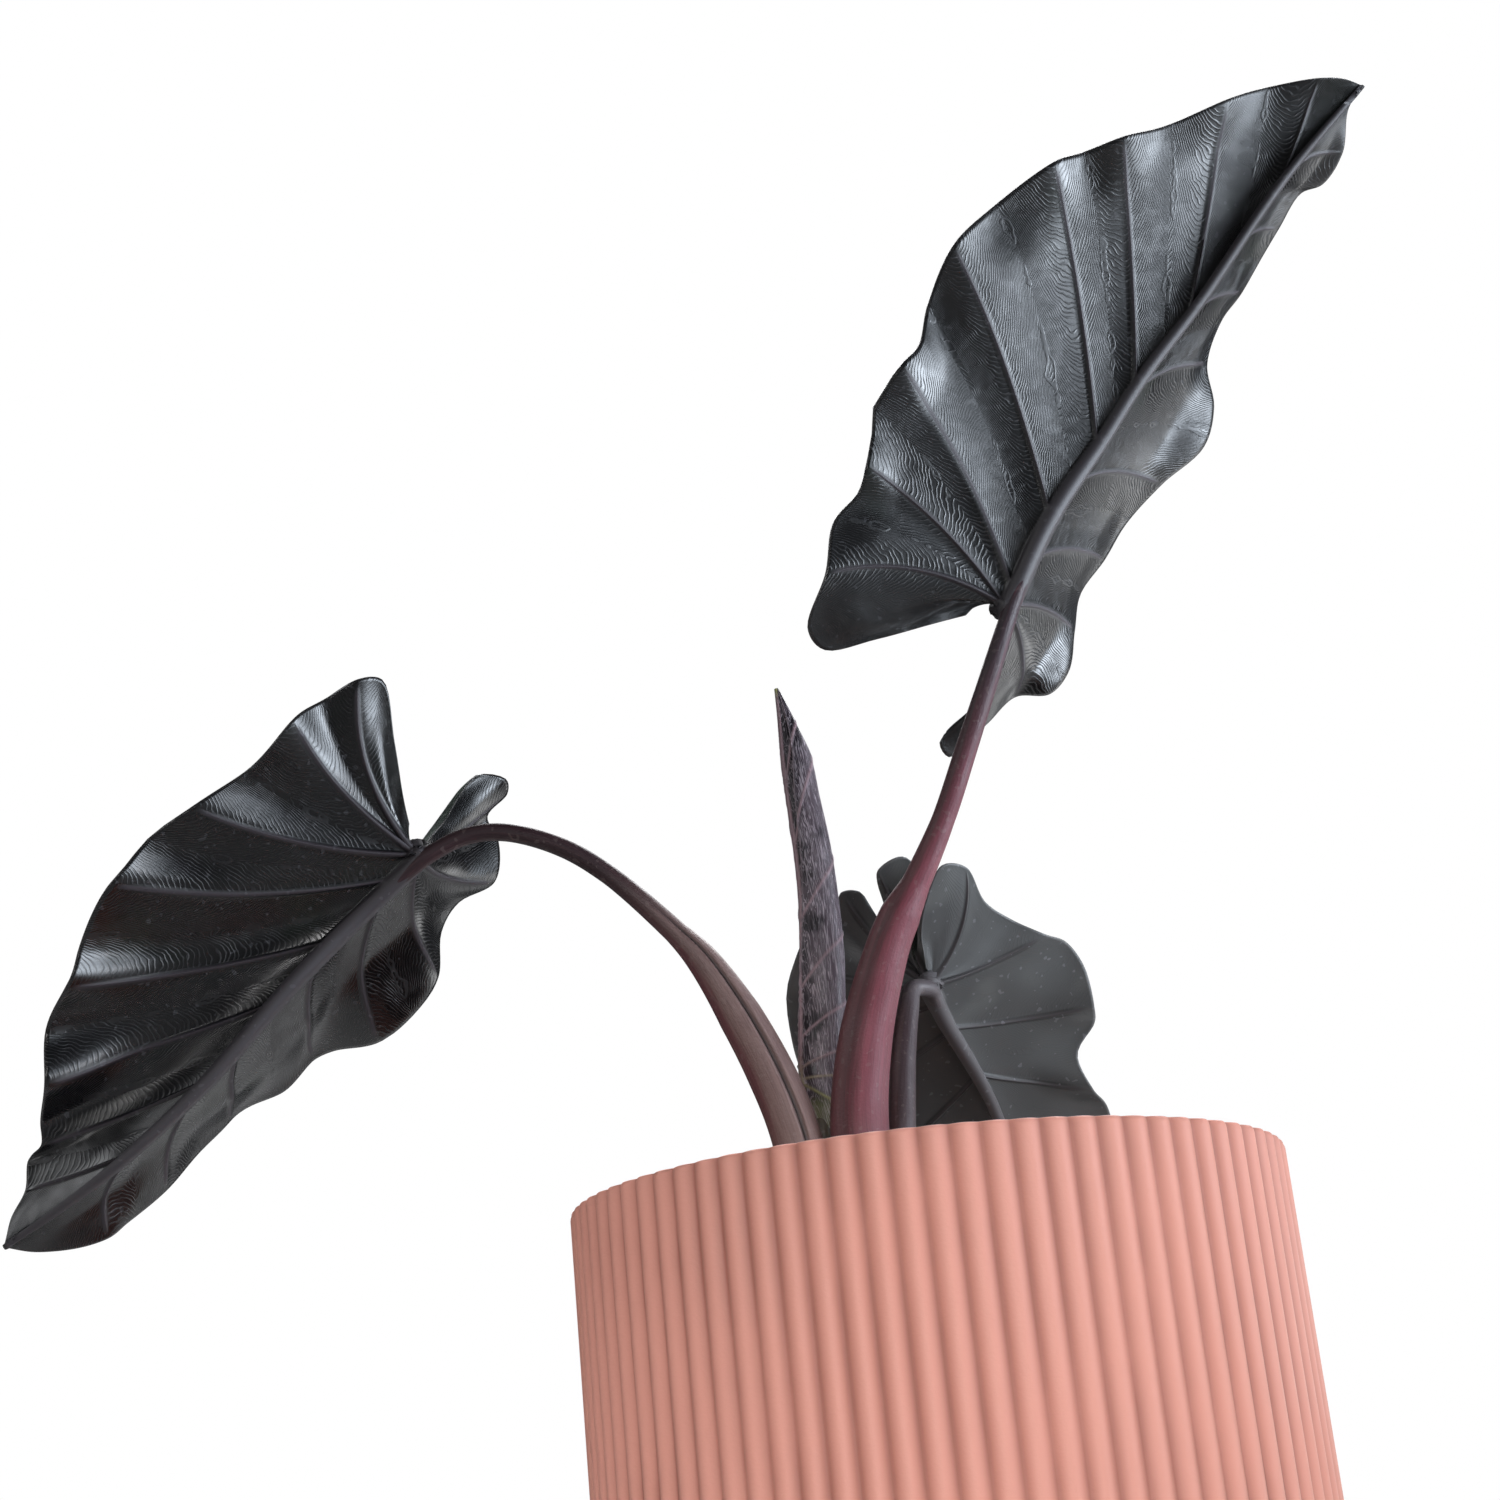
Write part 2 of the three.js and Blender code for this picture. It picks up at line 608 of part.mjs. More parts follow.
/** A named sub-part. */
function part(name, geometry, finish) {
  const mesh = new THREE.Mesh(geometry, new THREE.MeshStandardMaterial({ metalness: 0, ...finish }));
  mesh.name = name;
  return mesh;
}

const plant = new THREE.Group();
plant.add(part("cover_pot", coverPot(), FINISH.terracotta));
plant.add(part("nursery_pot", nurseryPot(), FINISH.growPot));
plant.add(part("soil", soilBody(), FINISH.soil));
plant.add(part("rhizome", skin(crownRings(0)), FINISH.crown));
plant.add(part("petiole_left", stalkBody(STALKS.petiole_left), FINISH.burgundy));
plant.add(part("petiole_right", stalkBody(STALKS.petiole_right), FINISH.burgundy));
plant.add(part("petiole_back", stalkBody(STALKS.petiole_back), FINISH.greyStalk));
plant.add(part("new_stalk", stalkBody(STALKS.new_stalk), FINISH.paleGreen));
plant.add(part("new_leaf", newLeafBody(), FINISH.rolled));
for (const [name, blade] of Object.entries(BLADES)) {
  const mesh = part(name, bladeBody(blade), FINISH.bladeDark);
  mesh.position.copy(vector(blade.at));
  mesh.quaternion.setFromRotationMatrix(bladeFrame(blade));
  plant.add(mesh);
}

export default plant;
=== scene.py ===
"""A potted velvet alocasia in a ribbed cover pot, dressed for pictures.

Each solid of the part that shows is replaced by a finer surface in the same place. Sizes are in
millimetres in the part's frame: the origin is the centre of the pot's base, +Z is up and -Y
faces the viewer. They become metres when a piece is finished.
"""

import logging
import math
import random
from collections.abc import Mapping, Sequence
from dataclasses import dataclass
from enum import Enum

import bmesh
import bpy
import numpy as np
from mathutils import Matrix, Vector, noise


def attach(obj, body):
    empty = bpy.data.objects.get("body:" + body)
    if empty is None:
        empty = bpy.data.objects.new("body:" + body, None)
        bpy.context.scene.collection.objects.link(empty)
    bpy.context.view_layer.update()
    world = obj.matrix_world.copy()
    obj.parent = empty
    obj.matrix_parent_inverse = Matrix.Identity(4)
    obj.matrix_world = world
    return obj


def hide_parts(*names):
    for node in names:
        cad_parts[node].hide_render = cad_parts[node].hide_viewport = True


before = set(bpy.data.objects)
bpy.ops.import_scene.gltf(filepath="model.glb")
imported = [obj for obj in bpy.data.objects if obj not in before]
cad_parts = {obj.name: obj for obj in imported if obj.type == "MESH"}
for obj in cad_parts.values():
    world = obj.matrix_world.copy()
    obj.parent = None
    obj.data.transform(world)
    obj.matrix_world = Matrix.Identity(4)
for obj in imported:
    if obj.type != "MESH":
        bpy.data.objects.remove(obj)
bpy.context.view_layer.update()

log = logging.getLogger("alocasia")

METRE = 0.001  # one millimetre, in metres
TURN = 2 * math.pi
BODY = "root"
Pair = tuple[float, float]
Triple = tuple[float, float, float]
Place = tuple[float, ...]
Paint = tuple[float, float, float]
Mesh = bmesh.types.BMesh
Piece = bpy.types.Object
Socket = bpy.types.NodeSocket
Tree = bpy.types.NodeTree


# ------------------------------------------------------------------ curves and meshes


class Spline:
    """A smooth curve through points, with centripetal spacing."""

    def __init__(self, points: Sequence[Place], samples: int = 500) -> None:
        """Keeps the points and measures the curve.

        Args:
            points: the places that it runs through.
            samples: how many places its length is measured at.
        """
        inner = np.array([p[:3] for p in points], float)
        self.spans = len(inner) - 1
        self.points = np.vstack([2 * inner[0] - inner[1], inner, 2 * inner[-1] - inner[-2]])
        self.shares = np.linspace(0, 1, samples)
        steps = np.linalg.norm(np.diff(self.at(self.shares), axis=0), axis=1)
        self.lengths = np.concatenate([[0.0], np.cumsum(steps)])

    @property
    def length(self) -> float:
        """The curve's length."""
        return float(self.lengths[-1])

    def at(self, share: np.ndarray) -> np.ndarray:
        """Places on the curve.

        Args:
            share: shares of the way from point to point, from 0 to 1.

        Returns:
            One place for each share.
        """
        way = np.clip(np.atleast_1d(share), 0, 1) * self.spans
        first = np.minimum(way.astype(int), self.spans - 1)
        t = (way - first)[:, None]
        a, b, c, d = (self.points[first + k] for k in range(4))
        pairs = ((a, b), (b, c), (c, d))
        gaps = [np.sqrt(np.linalg.norm(q - p, axis=1))[:, None] for p, q in pairs]
        gap = np.maximum(gaps[1], 1e-4)
        before, after = (np.where(g < 1e-4, gap, g) for g in (gaps[0], gaps[2]))
        start = gap * ((b - a) / before - (c - a) / (before + gap) + (c - b) / gap)
        end = gap * ((c - b) / gap - (d - b) / (gap + after) + (d - c) / after)
        cubic = 2 * b - 2 * c + start + end
        square = -3 * b + 3 * c - 2 * start - end
        return b + t * (start + t * (square + t * cubic))

    def at_length(self, distance: np.ndarray) -> np.ndarray:
        """Places on the curve at distances along it."""
        return self.at(np.interp(distance, self.lengths, self.shares))

    def heading(self, share: np.ndarray) -> np.ndarray:
        """Unit headings of the curve at shares of its way."""
        step = 1e-3
        ahead = self.at(np.asarray(share) + step) - self.at(np.asarray(share) - step)
        return ahead / np.linalg.norm(ahead, axis=1, keepdims=True)


def mixed(ends: Sequence[float], share: np.ndarray | float) -> np.ndarray | float:
    """A value that runs evenly from the first end to the second."""
    return ends[0] + (ends[1] - ends[0]) * share


def eased(low: float, high: float, value: np.ndarray | float) -> np.ndarray | float:
    """A smooth step from 0 at low to 1 at high."""
    t = np.clip((value - low) / (high - low), 0, 1)
    return t * t * (3 - 2 * t)


def clustered(breaks: Sequence[float], counts: Sequence[int]) -> np.ndarray:
    """Numbers in rising order that crowd at each break.

    Args:
        breaks: numbers in rising order.
        counts: how many steps each span between two breaks takes.

    Returns:
        The numbers, with every break among them.
    """
    spans = [
        low + (high - low) * (0.5 - 0.5 * np.cos(math.pi * np.arange(count) / count))
        for low, high, count in zip(breaks, breaks[1:], counts)
    ]
    return np.concatenate([*spans, [breaks[-1]]])


def laid_grid(places: np.ndarray, values: Mapping[str, np.ndarray]) -> Mesh:
    """A grid of faces whose corners are laid on given places.

    Args:
        places: places in millimetres, by line and by column.
        values: numbers that each corner keeps, by name.

    Returns:
        The mesh, in which each name is a float layer of the corners.
    """
    lines, columns = places.shape[:2]
    mesh = bmesh.new()
    bmesh.ops.create_grid(mesh, x_segments=lines - 1, y_segments=columns - 1, size=1.0)
    layers = {name: mesh.verts.layers.float.new(name) for name in values}
    for corner in mesh.verts:
        line = round((corner.co.x + 1) / 2 * (lines - 1))
        column = round((corner.co.y + 1) / 2 * (columns - 1))
        corner.co = places[line, column]
        for name, layer in layers.items():
            corner[layer] = float(values[name][line, column])
    return mesh


def close_seam(mesh: Mesh, distance: float) -> None:
    """Merges corners that lie on one another."""
    bmesh.ops.remove_doubles(mesh, verts=mesh.verts[:], dist=distance)


def laid_tube(
    places: np.ndarray, values: Mapping[str, np.ndarray] | None = None, seam: float = 0.004
) -> Mesh:
    """A closed tube or bowl, laid ring by ring.

    Args:
        places: places in millimetres, by ring and by column; each ring ends where it starts.
        values: numbers that each corner keeps, by name.
        seam: how near two corners lie that are merged.

    Returns:
        The mesh, with its open ends closed and all its faces turned outwards.
    """
    mesh = laid_grid(places, values or {})
    close_seam(mesh, seam)
    bmesh.ops.holes_fill(mesh, edges=[e for e in mesh.edges if e.is_boundary], sides=0)
    bmesh.ops.recalc_face_normals(mesh, faces=mesh.faces[:])
    return mesh


def lumps(where: Sequence[float], scale: float = 1.0) -> float:
    """Soft lumps from -1 to 1 at a place."""
    return noise.noise(Vector(where) * scale)


# ------------------------------------------------------------------------- materials


class Bench:
    """Adds nodes to a node tree and links them."""

    def __init__(self, tree: Tree) -> None:
        """Keeps the tree that the nodes go in."""
        self.tree = tree

    def add(
        self, kind: str, inputs: Mapping[str | int, object], **settings: object
    ) -> bpy.types.Node:
        """Adds one node.

        Args:
            kind: the node's type, without its ShaderNode prefix.
            inputs: a value or another node's socket for each named input.
            **settings: the node's own properties.

        Returns:
            The node.
        """
        node = self.tree.nodes.new("ShaderNode" + kind)
        for name, value in settings.items():
            setattr(node, name, value)
        for name, value in inputs.items():
            if isinstance(value, Socket):
                self.tree.links.new(value, node.inputs[name])
            else:
                node.inputs[name].default_value = value
        return node

    def figure(self, operation: str, *terms: object) -> Socket:
        """One step of arithmetic on numbers and sockets."""
        return self.add("Math", dict(enumerate(terms)), operation=operation).outputs[0]

    def times(self, first: object, second: object) -> Socket:
        """A product of two numbers."""
        return self.figure("MULTIPLY", first, second)

    def times_plus(self, first: object, second: object, third: object) -> Socket:
        """A product of two numbers, and a third added to it."""
        return self.figure("MULTIPLY_ADD", first, second, third)

    def step(self, value: object, low: float, high: float) -> Socket:
        """A smooth step.

        Args:
            value: the number that it follows.
            low: where it is 0.
            high: where it is 1, on either side of low.

        Returns:
            The step, from 0 to 1.
        """
        ends = {"Value": value, "From Min": min(low, high), "From Max": max(low, high)}
        ends |= {"To Min": float(low > high), "To Max": float(low < high)}
        return self.add("MapRange", ends, interpolation_type="SMOOTHSTEP").outputs[0]

    def blend(self, share: object, first: object, second: object) -> Socket:
        """A colour between two."""
        first, second = ((*c, 1.0) if isinstance(c, tuple) else c for c in (first, second))
        inputs = {0: share, 6: first, 7: second}
        return self.add("Mix", inputs, data_type="RGBA", clamp_factor=True).outputs[2]

    def between(self, share: object, low: object, high: object) -> Socket:
        """A number between two."""
        return self.add("Mix", {0: share, 2: low, 3: high}, data_type="FLOAT").outputs[0]

    def cloud(self, where: object, scale: object, detail: float = 3.0) -> Socket:
        """Soft noise, from 0 to 1."""
        return self.add("TexNoise", {"Vector": where, "Scale": scale, "Detail": detail}).outputs[0]

    def stored(self, name: str) -> Socket:
        """A number that the mesh's corners keep."""
        return self.add("Attribute", {}, attribute_name=name).outputs["Fac"]

    def place(self) -> Socket:
        """The place in the object's own frame, in metres."""
        return self.add("TexCoord", {}).outputs["Object"]

    def raised(
        self, height: object, distance: float, strength: float, sunk: bool = False
    ) -> Socket:
        """A normal bent by a height of 0 to 1 that stands for a distance in metres."""
        inputs = {"Strength": strength, "Distance": distance, "Height": height}
        return self.add("Bump", inputs, invert=sunk).outputs[0]

    def group(self, name: str, inputs: Mapping[str, object]) -> bpy.types.NodeOutputs:
        """The outputs of a node group that is placed here."""
        return self.add("Group", inputs, node_tree=GROUPS[name]).outputs

    def grain(
        self, where: Socket, broad: float, fine: float, specks: float = 0.72
    ) -> bpy.types.NodeOutputs:
        """Patches, fine grain and rare specks at two scales."""
        scales = {"Place": where, "Broad": broad, "Fine": fine, "Specks": specks}
        return self.group("grain", scales)


def new_group(
    name: str, inputs: Mapping[str, float | Triple], outputs: Sequence[str]
) -> tuple[Bench, bpy.types.NodeOutputs]:
    """Starts a node group.

    Args:
        name: the group's name.
        inputs: each input's first value; three numbers make it a vector.
        outputs: the names of its number outputs.

    Returns:
        A bench on the group's tree, and the sockets that its inputs come from.
    """
    tree = bpy.data.node_groups.new(name, "ShaderNodeTree")
    for label, value in inputs.items():
        kind = "NodeSocketVector" if isinstance(value, tuple) else "NodeSocketFloat"
        socket = tree.interface.new_socket(name=label, in_out="INPUT", socket_type=kind)
        socket.default_value = value
    for label in outputs:
        tree.interface.new_socket(name=label, in_out="OUTPUT", socket_type="NodeSocketFloat")
    return Bench(tree), tree.nodes.new("NodeGroupInput").outputs


def end_group(bench: Bench, results: Mapping[str, Socket]) -> Tree:
    """Links a group's outputs.

    Args:
        bench: the bench on the group's tree.
        results: the socket that each output comes from.

    Returns:
        The group's tree.
    """
    out = bench.tree.nodes.new("NodeGroupOutput")
    for label, socket in results.items():
        bench.tree.links.new(socket, out.inputs[label])
    return bench.tree


def vein_net_group() -> Tree:
    """The net of fine veins between two side veins: arches that rise and meet half way.

    Returns:
        A group with the net's height, and with a mask of patches for colour.
    """
    inputs = {"Place": (0.0, 0.0, 0.0), "Across": 0.0, "Apart": 0.0, "Midway": 9.0, "Step": 1.5}
    inputs |= {"Slant": 0.25, "Curve": 0.1}
    bench, given = new_group("vein net", inputs, ["Height", "Patch"])
    where, apart = given["Place"], given["Apart"]
    wobble = bench.cloud(where, 110.0, 2.0)
    bent = bench.times_plus(apart, given["Curve"], given["Slant"])
    risen = bench.figure("SUBTRACT", given["Across"], bench.times(bent, apart))
    ruffle = bench.times_plus(bench.cloud(where, 300.0, 1.0), 2.4, risen)
    moved = bench.times_plus(wobble, 4.6, ruffle)
    turns = bench.times(bench.figure("DIVIDE", moved, given["Step"]), TURN)
    wave = bench.times_plus(bench.figure("COSINE", turns), 0.5, 0.5)
    narrow = bench.figure("POWER", wave, 5.0)
    broken = bench.between(bench.step(bench.cloud(where, 210.0, 2.0), 0.35, 0.6), 0.4, 1.0)
    arches = bench.times(bench.times(narrow, broken), bench.step(apart, 0.3, 1.2))
    strayed = bench.times_plus(bench.figure("SUBTRACT", wobble, 0.5), 9.0, given["Midway"])
    lengthwise = bench.times(bench.step(bench.figure("ABSOLUTE", strayed), 0.55, 0.1), 0.8)
    height = bench.figure("MAXIMUM", arches, lengthwise)
    patch = bench.step(bench.cloud(where, 36.0, 2.0), 0.56, 0.72)
    return end_group(bench, {"Height": height, "Patch": patch})


def grain_group() -> Tree:
    """Fine grain and broad mottling.

    Returns:
        A group with a mask of broad patches, one of fine grain, and one of rare specks.
    """
    inputs = {"Place": (0.0, 0.0, 0.0), "Broad": 30.0, "Fine": 900.0, "Specks": 0.72}
    bench, given = new_group("grain", inputs, ["Patch", "Grain", "Speck"])
    patch = bench.step(bench.cloud(given["Place"], given["Broad"]), 0.35, 0.65)
    fine = bench.cloud(given["Place"], given["Fine"], 2.0)
    dots = bench.cloud(given["Place"], 620.0, 0.0)
    speck = bench.figure("GREATER_THAN", dots, given["Specks"])
    return end_group(bench, {"Patch": patch, "Grain": fine, "Speck": speck})


@dataclass(frozen=True)
class Sheen:
    """The soft light that fine hairs send back at a slant."""

    weight: float = 0.0
    roughness: float = 0.3
    tint: Paint = (1.0, 1.0, 1.0)


@dataclass(frozen=True)
class Finish:
    """A surface finish, which a subclass paints."""

    name: str
    gloss: float = 0.5  # specular level
    sheen: Sheen = Sheen()

    def painted(self, bench: Bench) -> dict[str, object]:
        """The values that change over the surface, by the shader's socket."""
        raise NotImplementedError

    def material(self) -> bpy.types.Material:
        """Turns the finish into a material, once for each name.

        Returns:
            The material.
        """
        made = bpy.data.materials.get(self.name)
        if made is not None:
            return made
        made = bpy.data.materials.new(self.name)
        made.use_nodes = True
        made.node_tree.nodes.clear()
        bench = Bench(made.node_tree)
        inputs = {
            "Specular IOR Level": self.gloss,
            "Sheen Weight": self.sheen.weight,
            "Sheen Roughness": self.sheen.roughness,
            "Sheen Tint": (*self.sheen.tint, 1.0),
        }
        shader = bench.add("BsdfPrincipled", inputs | self.painted(bench))
        bench.add("OutputMaterial", {"Surface": shader.outputs[0]})
        return made


GROUPS: dict[str, Tree] = {"veins": vein_net_group(), "grain": grain_group()}


def lightened(colour: Paint, factor: float) -> Paint:
    """A colour made lighter, up to white."""
    return tuple(min(1.0, c * factor) for c in colour)


@dataclass(frozen=True)
class PotPlastic(Finish):
    """Matt moulded plastic of the cover pot, with painted shade darkening it down in its grooves.
    """

    colour: Paint = (0.66, 0.302, 0.236)
    # painted shade down in the grooves
    groove_painted_shade: Paint = (0.3, 0.105, 0.075)

    def painted(self, bench: Bench) -> dict[str, object]:
        """Terracotta pink with faint mottling, a fine pebbled skin and painted shade in the
        grooves.

        Args:
            bench: where its nodes are made.

        Returns:
            Values and sockets, by the name of the shader's socket.
        """
        grain = bench.grain(bench.place(), 22.0, 1400.0)
        # painted shade: darker the deeper down a groove
        shade_share = bench.times(bench.figure("POWER", bench.stored("groove"), 1.4), 0.95)
        base = bench.blend(shade_share, self.colour, self.groove_painted_shade)
        patch = bench.times(grain["Patch"], 0.35)
        return {
            "Base Color": bench.blend(patch, base, lightened(self.colour, 1.07)),
            "Roughness": bench.between(grain["Patch"], 0.52, 0.62),
            "Normal": bench.raised(grain["Grain"], 0.00012, 0.5),
        }


@dataclass(frozen=True)
class GrowPlastic(Finish):
    """Thin black plastic of the grow pot, dusted with soil."""

    colour: Paint = (0.012, 0.012, 0.014)
    dust: Paint = (0.07, 0.05, 0.035)

    def painted(self, bench: Bench) -> dict[str, object]:
        """Satin black with a brown dust in patches.

        Args:
            bench: where its nodes are made.

        Returns:
            Values and sockets, by the name of the shader's socket.
        """
        grain = bench.grain(bench.place(), 60.0, 700.0)
        dust = bench.times(grain["Patch"], 0.3)
        return {
            "Base Color": bench.blend(dust, self.colour, self.dust),
            "Roughness": bench.between(grain["Patch"], 0.38, 0.6),
            "Normal": bench.raised(grain["Grain"], 0.0001, 0.4),
        }


@dataclass(frozen=True)
class PottingSoil(Finish):
    """Damp crumbly soil, its bark or its pale grit."""

    dark: Paint = (0.012, 0.008, 0.006)
    light: Paint = (0.06, 0.037, 0.022)

    def painted(self, bench: Bench) -> dict[str, object]:
        """Brown crumbs with a few pale fibres.

        Args:
            bench: where its nodes are made.

        Returns:
            Values and sockets, by the name of the shader's socket.
        """
        where = bench.place()
        grain = bench.grain(where, 260.0, 1500.0, 0.7)
        base = bench.blend(grain["Patch"], self.dark, self.light)
        height = bench.figure("ADD", grain["Grain"], bench.cloud(where, 500.0, 4.0))
        return {
            "Base Color": bench.blend(grain["Speck"], base, lightened(self.light, 3.0)),
            "Roughness": 0.95,
            "Normal": bench.raised(height, 0.0006, 0.9),
        }


@dataclass(frozen=True)
class CrownBark(Finish):
    """The fibrous brown skin of the crown, ringed by old leaf scars."""

    brown: Paint = (0.045, 0.026, 0.015)
    tan: Paint = (0.17, 0.105, 0.06)
    scar: Paint = (0.02, 0.012, 0.008)

    def painted(self, bench: Bench) -> dict[str, object]:
        """Rings of tan and dark brown.

        Args:
            bench: where its nodes are made.

        Returns:
            Values and sockets, by the name of the shader's socket.
        """
        where = bench.place()
        inputs = {"Vector": where, "Scale": 120.0, "Distortion": 6.0, "Detail": 3.0}
        rings = bench.add("TexWave", inputs, bands_direction="Z").outputs[1]
        cloud = bench.cloud(where, 160.0, 4.0)
        base = bench.blend(rings, self.brown, self.tan)
        return {
            "Base Color": bench.blend(bench.step(cloud, 0.55, 0.75), base, self.scar),
            "Roughness": 0.9,
            "Normal": bench.raised(bench.figure("ADD", rings, cloud), 0.0007, 0.9),
        }


@dataclass(frozen=True)
class StalkSkin(Finish):
    """The waxy skin of a leaf stalk, which changes from its sheath up to its blade."""

    foot: Paint = (0.13, 0.07, 0.065)
    middle: Paint = (0.2, 0.055, 0.07)
    top: Paint = (0.05, 0.022, 0.028)
    streak: Paint = (0.05, 0.018, 0.022)
    # the left side's colour: on the burgundy stalks partly their own duller hue and partly painted
    # shade, as the lamps stand to the right; on the new leaf's stalk its own green
    left: Paint = (0.09, 0.05, 0.05)
    left_share: Pair = (-0.1, -0.5)  # of the half width, where the left colour sets in
    turn: tuple[float, ...] = (20.0, 50.0, 90.0, 120.0)  # where its colour changes, up it
    dust: Paint = (0.3, 0.24, 0.22)
    shade: Paint = (0.008, 0.004, 0.005)  # painted shade inside the groove

    def painted(self, bench: Bench) -> dict[str, object]:
        """Long fine streaks over the change of colour, with painted shade inside the sheath's
        groove; the left side's colour is partly painted shade.

        Args:
            bench: where its nodes are made.

        Returns:
            Values and sockets, by the name of the shader's socket.
        """
        up = bench.stored("up")
        drawn_out = {0: bench.stored("side_x"), 1: bench.stored("side_y"), 2: bench.times(up, 0.04)}
        skin = bench.add("CombineXYZ", drawn_out).outputs[0]
        across = bench.times_plus(bench.cloud(skin, 1.1, 2.0), 0.5, bench.stored("sideways"))
        # the left side, which on the burgundy stalks is partly painted shade
        on_left = bench.step(across, *(share + 0.25 for share in self.left_share))
        middle = bench.blend(on_left, self.middle, self.left)
        low = bench.blend(bench.step(up, *self.turn[:2]), self.foot, middle)
        base = bench.blend(bench.step(up, *self.turn[2:]), low, self.top)
        fine = bench.cloud(skin, 2.6, 4.0)
        streaks = bench.times(bench.step(fine, 0.42, 0.75), 0.4)
        mottled = bench.blend(streaks, base, self.streak)
        pale = bench.times(bench.step(bench.cloud(skin, 0.7, 2.0), 0.5, 0.75), 0.2)
        lit = bench.blend(pale, mottled, lightened(self.middle, 1.9))
        grain = bench.grain(bench.place(), 90.0, 1200.0, 0.73)
        dusty = bench.blend(bench.times(grain["Speck"], 0.12), lit, self.dust)
        height = bench.times_plus(fine, 0.8, grain["Grain"])
        return {
            # painted shade inside the sheath's groove
            "Base Color": bench.blend(bench.stored("groove"), dusty, self.shade),
            "Roughness": bench.between(grain["Patch"], 0.46, 0.58),
            "Normal": bench.raised(height, 0.00025, 0.5),
        }


class Side(Enum):
    """The two sides of a blade, by their material index."""

    UPPER = 0
    UNDER = 1


@dataclass(frozen=True)
class VelvetLeaf(Finish):
    """One side of a velvety blade with its veins."""

    side: Side = Side.UNDER
    ground: Paint = (0.002, 0.002, 0.0027)
    patch: Paint = (0.002, 0.0055, 0.0022)  # greener, in soft patches
    line: Paint = (0.0045, 0.004, 0.0055)  # the fine veins
    painted_vein_shade: Paint = (0.002, 0.002, 0.003)  # painted shade along each side vein
    rib: Paint = (0.024, 0.017, 0.023)  # the side veins
    ridge: Paint = (0.034, 0.028, 0.033)  # the midrib
    edge: Paint = (0.02, 0.018, 0.018)
    dust: Paint = (0.22, 0.22, 0.24)
    roughness: Pair = (0.2, 0.27)
    line_roughness: float = 0.42
    line_share: float = 1.0  # how plainly the fine veins show
    specks: float = 0.12  # how plainly the dust shows
    rib_roughness: float = 0.6
    relief: float = 0.00006  # metres

    def painted(self, bench: Bench) -> dict[str, object]:
        """A near black glossy ground under a net of fine veins, with paler matt ribs and painted
        shade beside them.

        Args:
            bench: where its nodes are made.

        Returns:
            Values and sockets, by the name of the shader's socket.
        """
        where, apart, keel = bench.place(), bench.stored("apart"), bench.stored("keel")
        inside = bench.stored("inside")
        inputs = {"Place": where, "Across": bench.stored("across"), "Apart": apart}
        net = bench.group("veins", inputs | {"Midway": bench.stored("midway")})
        grain = bench.grain(where, 45.0, 2200.0, 0.765)
        ground = bench.blend(bench.times(net["Patch"], 0.6), self.ground, self.patch)
        fine = bench.times(net["Height"], self.line_share)
        lined = bench.blend(bench.times(fine, 0.6), ground, self.line)
        on_rib = bench.times(bench.step(apart, 0.85, 0.45), bench.step(inside, 1.0, 5.0))
        rib = bench.figure("MAXIMUM", on_rib, keel)
        # beside the side veins: painted shade in the colour, and a rougher skin
        beside = bench.times(bench.step(apart, 1.7, 0.9), bench.step(inside, 2.0, 9.0))
        vein_shaded = bench.blend(bench.times(beside, 0.8), lined, self.painted_vein_shade)
        keeled = bench.blend(keel, bench.blend(on_rib, vein_shaded, self.rib), self.ridge)
        edged = bench.blend(bench.step(inside, 0.8, 0.2), keeled, self.edge)
        height = bench.times_plus(grain["Grain"], 0.2, fine)
        flat = bench.times(height, bench.figure("SUBTRACT", 1.0, rib))
        lines = bench.figure("MAXIMUM", fine, bench.times(beside, 0.7))
        skin = bench.between(grain["Patch"], *self.roughness)
        gloss = bench.between(lines, skin, self.line_roughness)
        return {
            "Base Color": bench.blend(bench.times(grain["Speck"], self.specks), edged, self.dust),
            "Roughness": bench.between(rib, gloss, self.rib_roughness),
            "Normal": bench.raised(flat, self.relief, 0.8, sunk=self.side is Side.UPPER),
        }


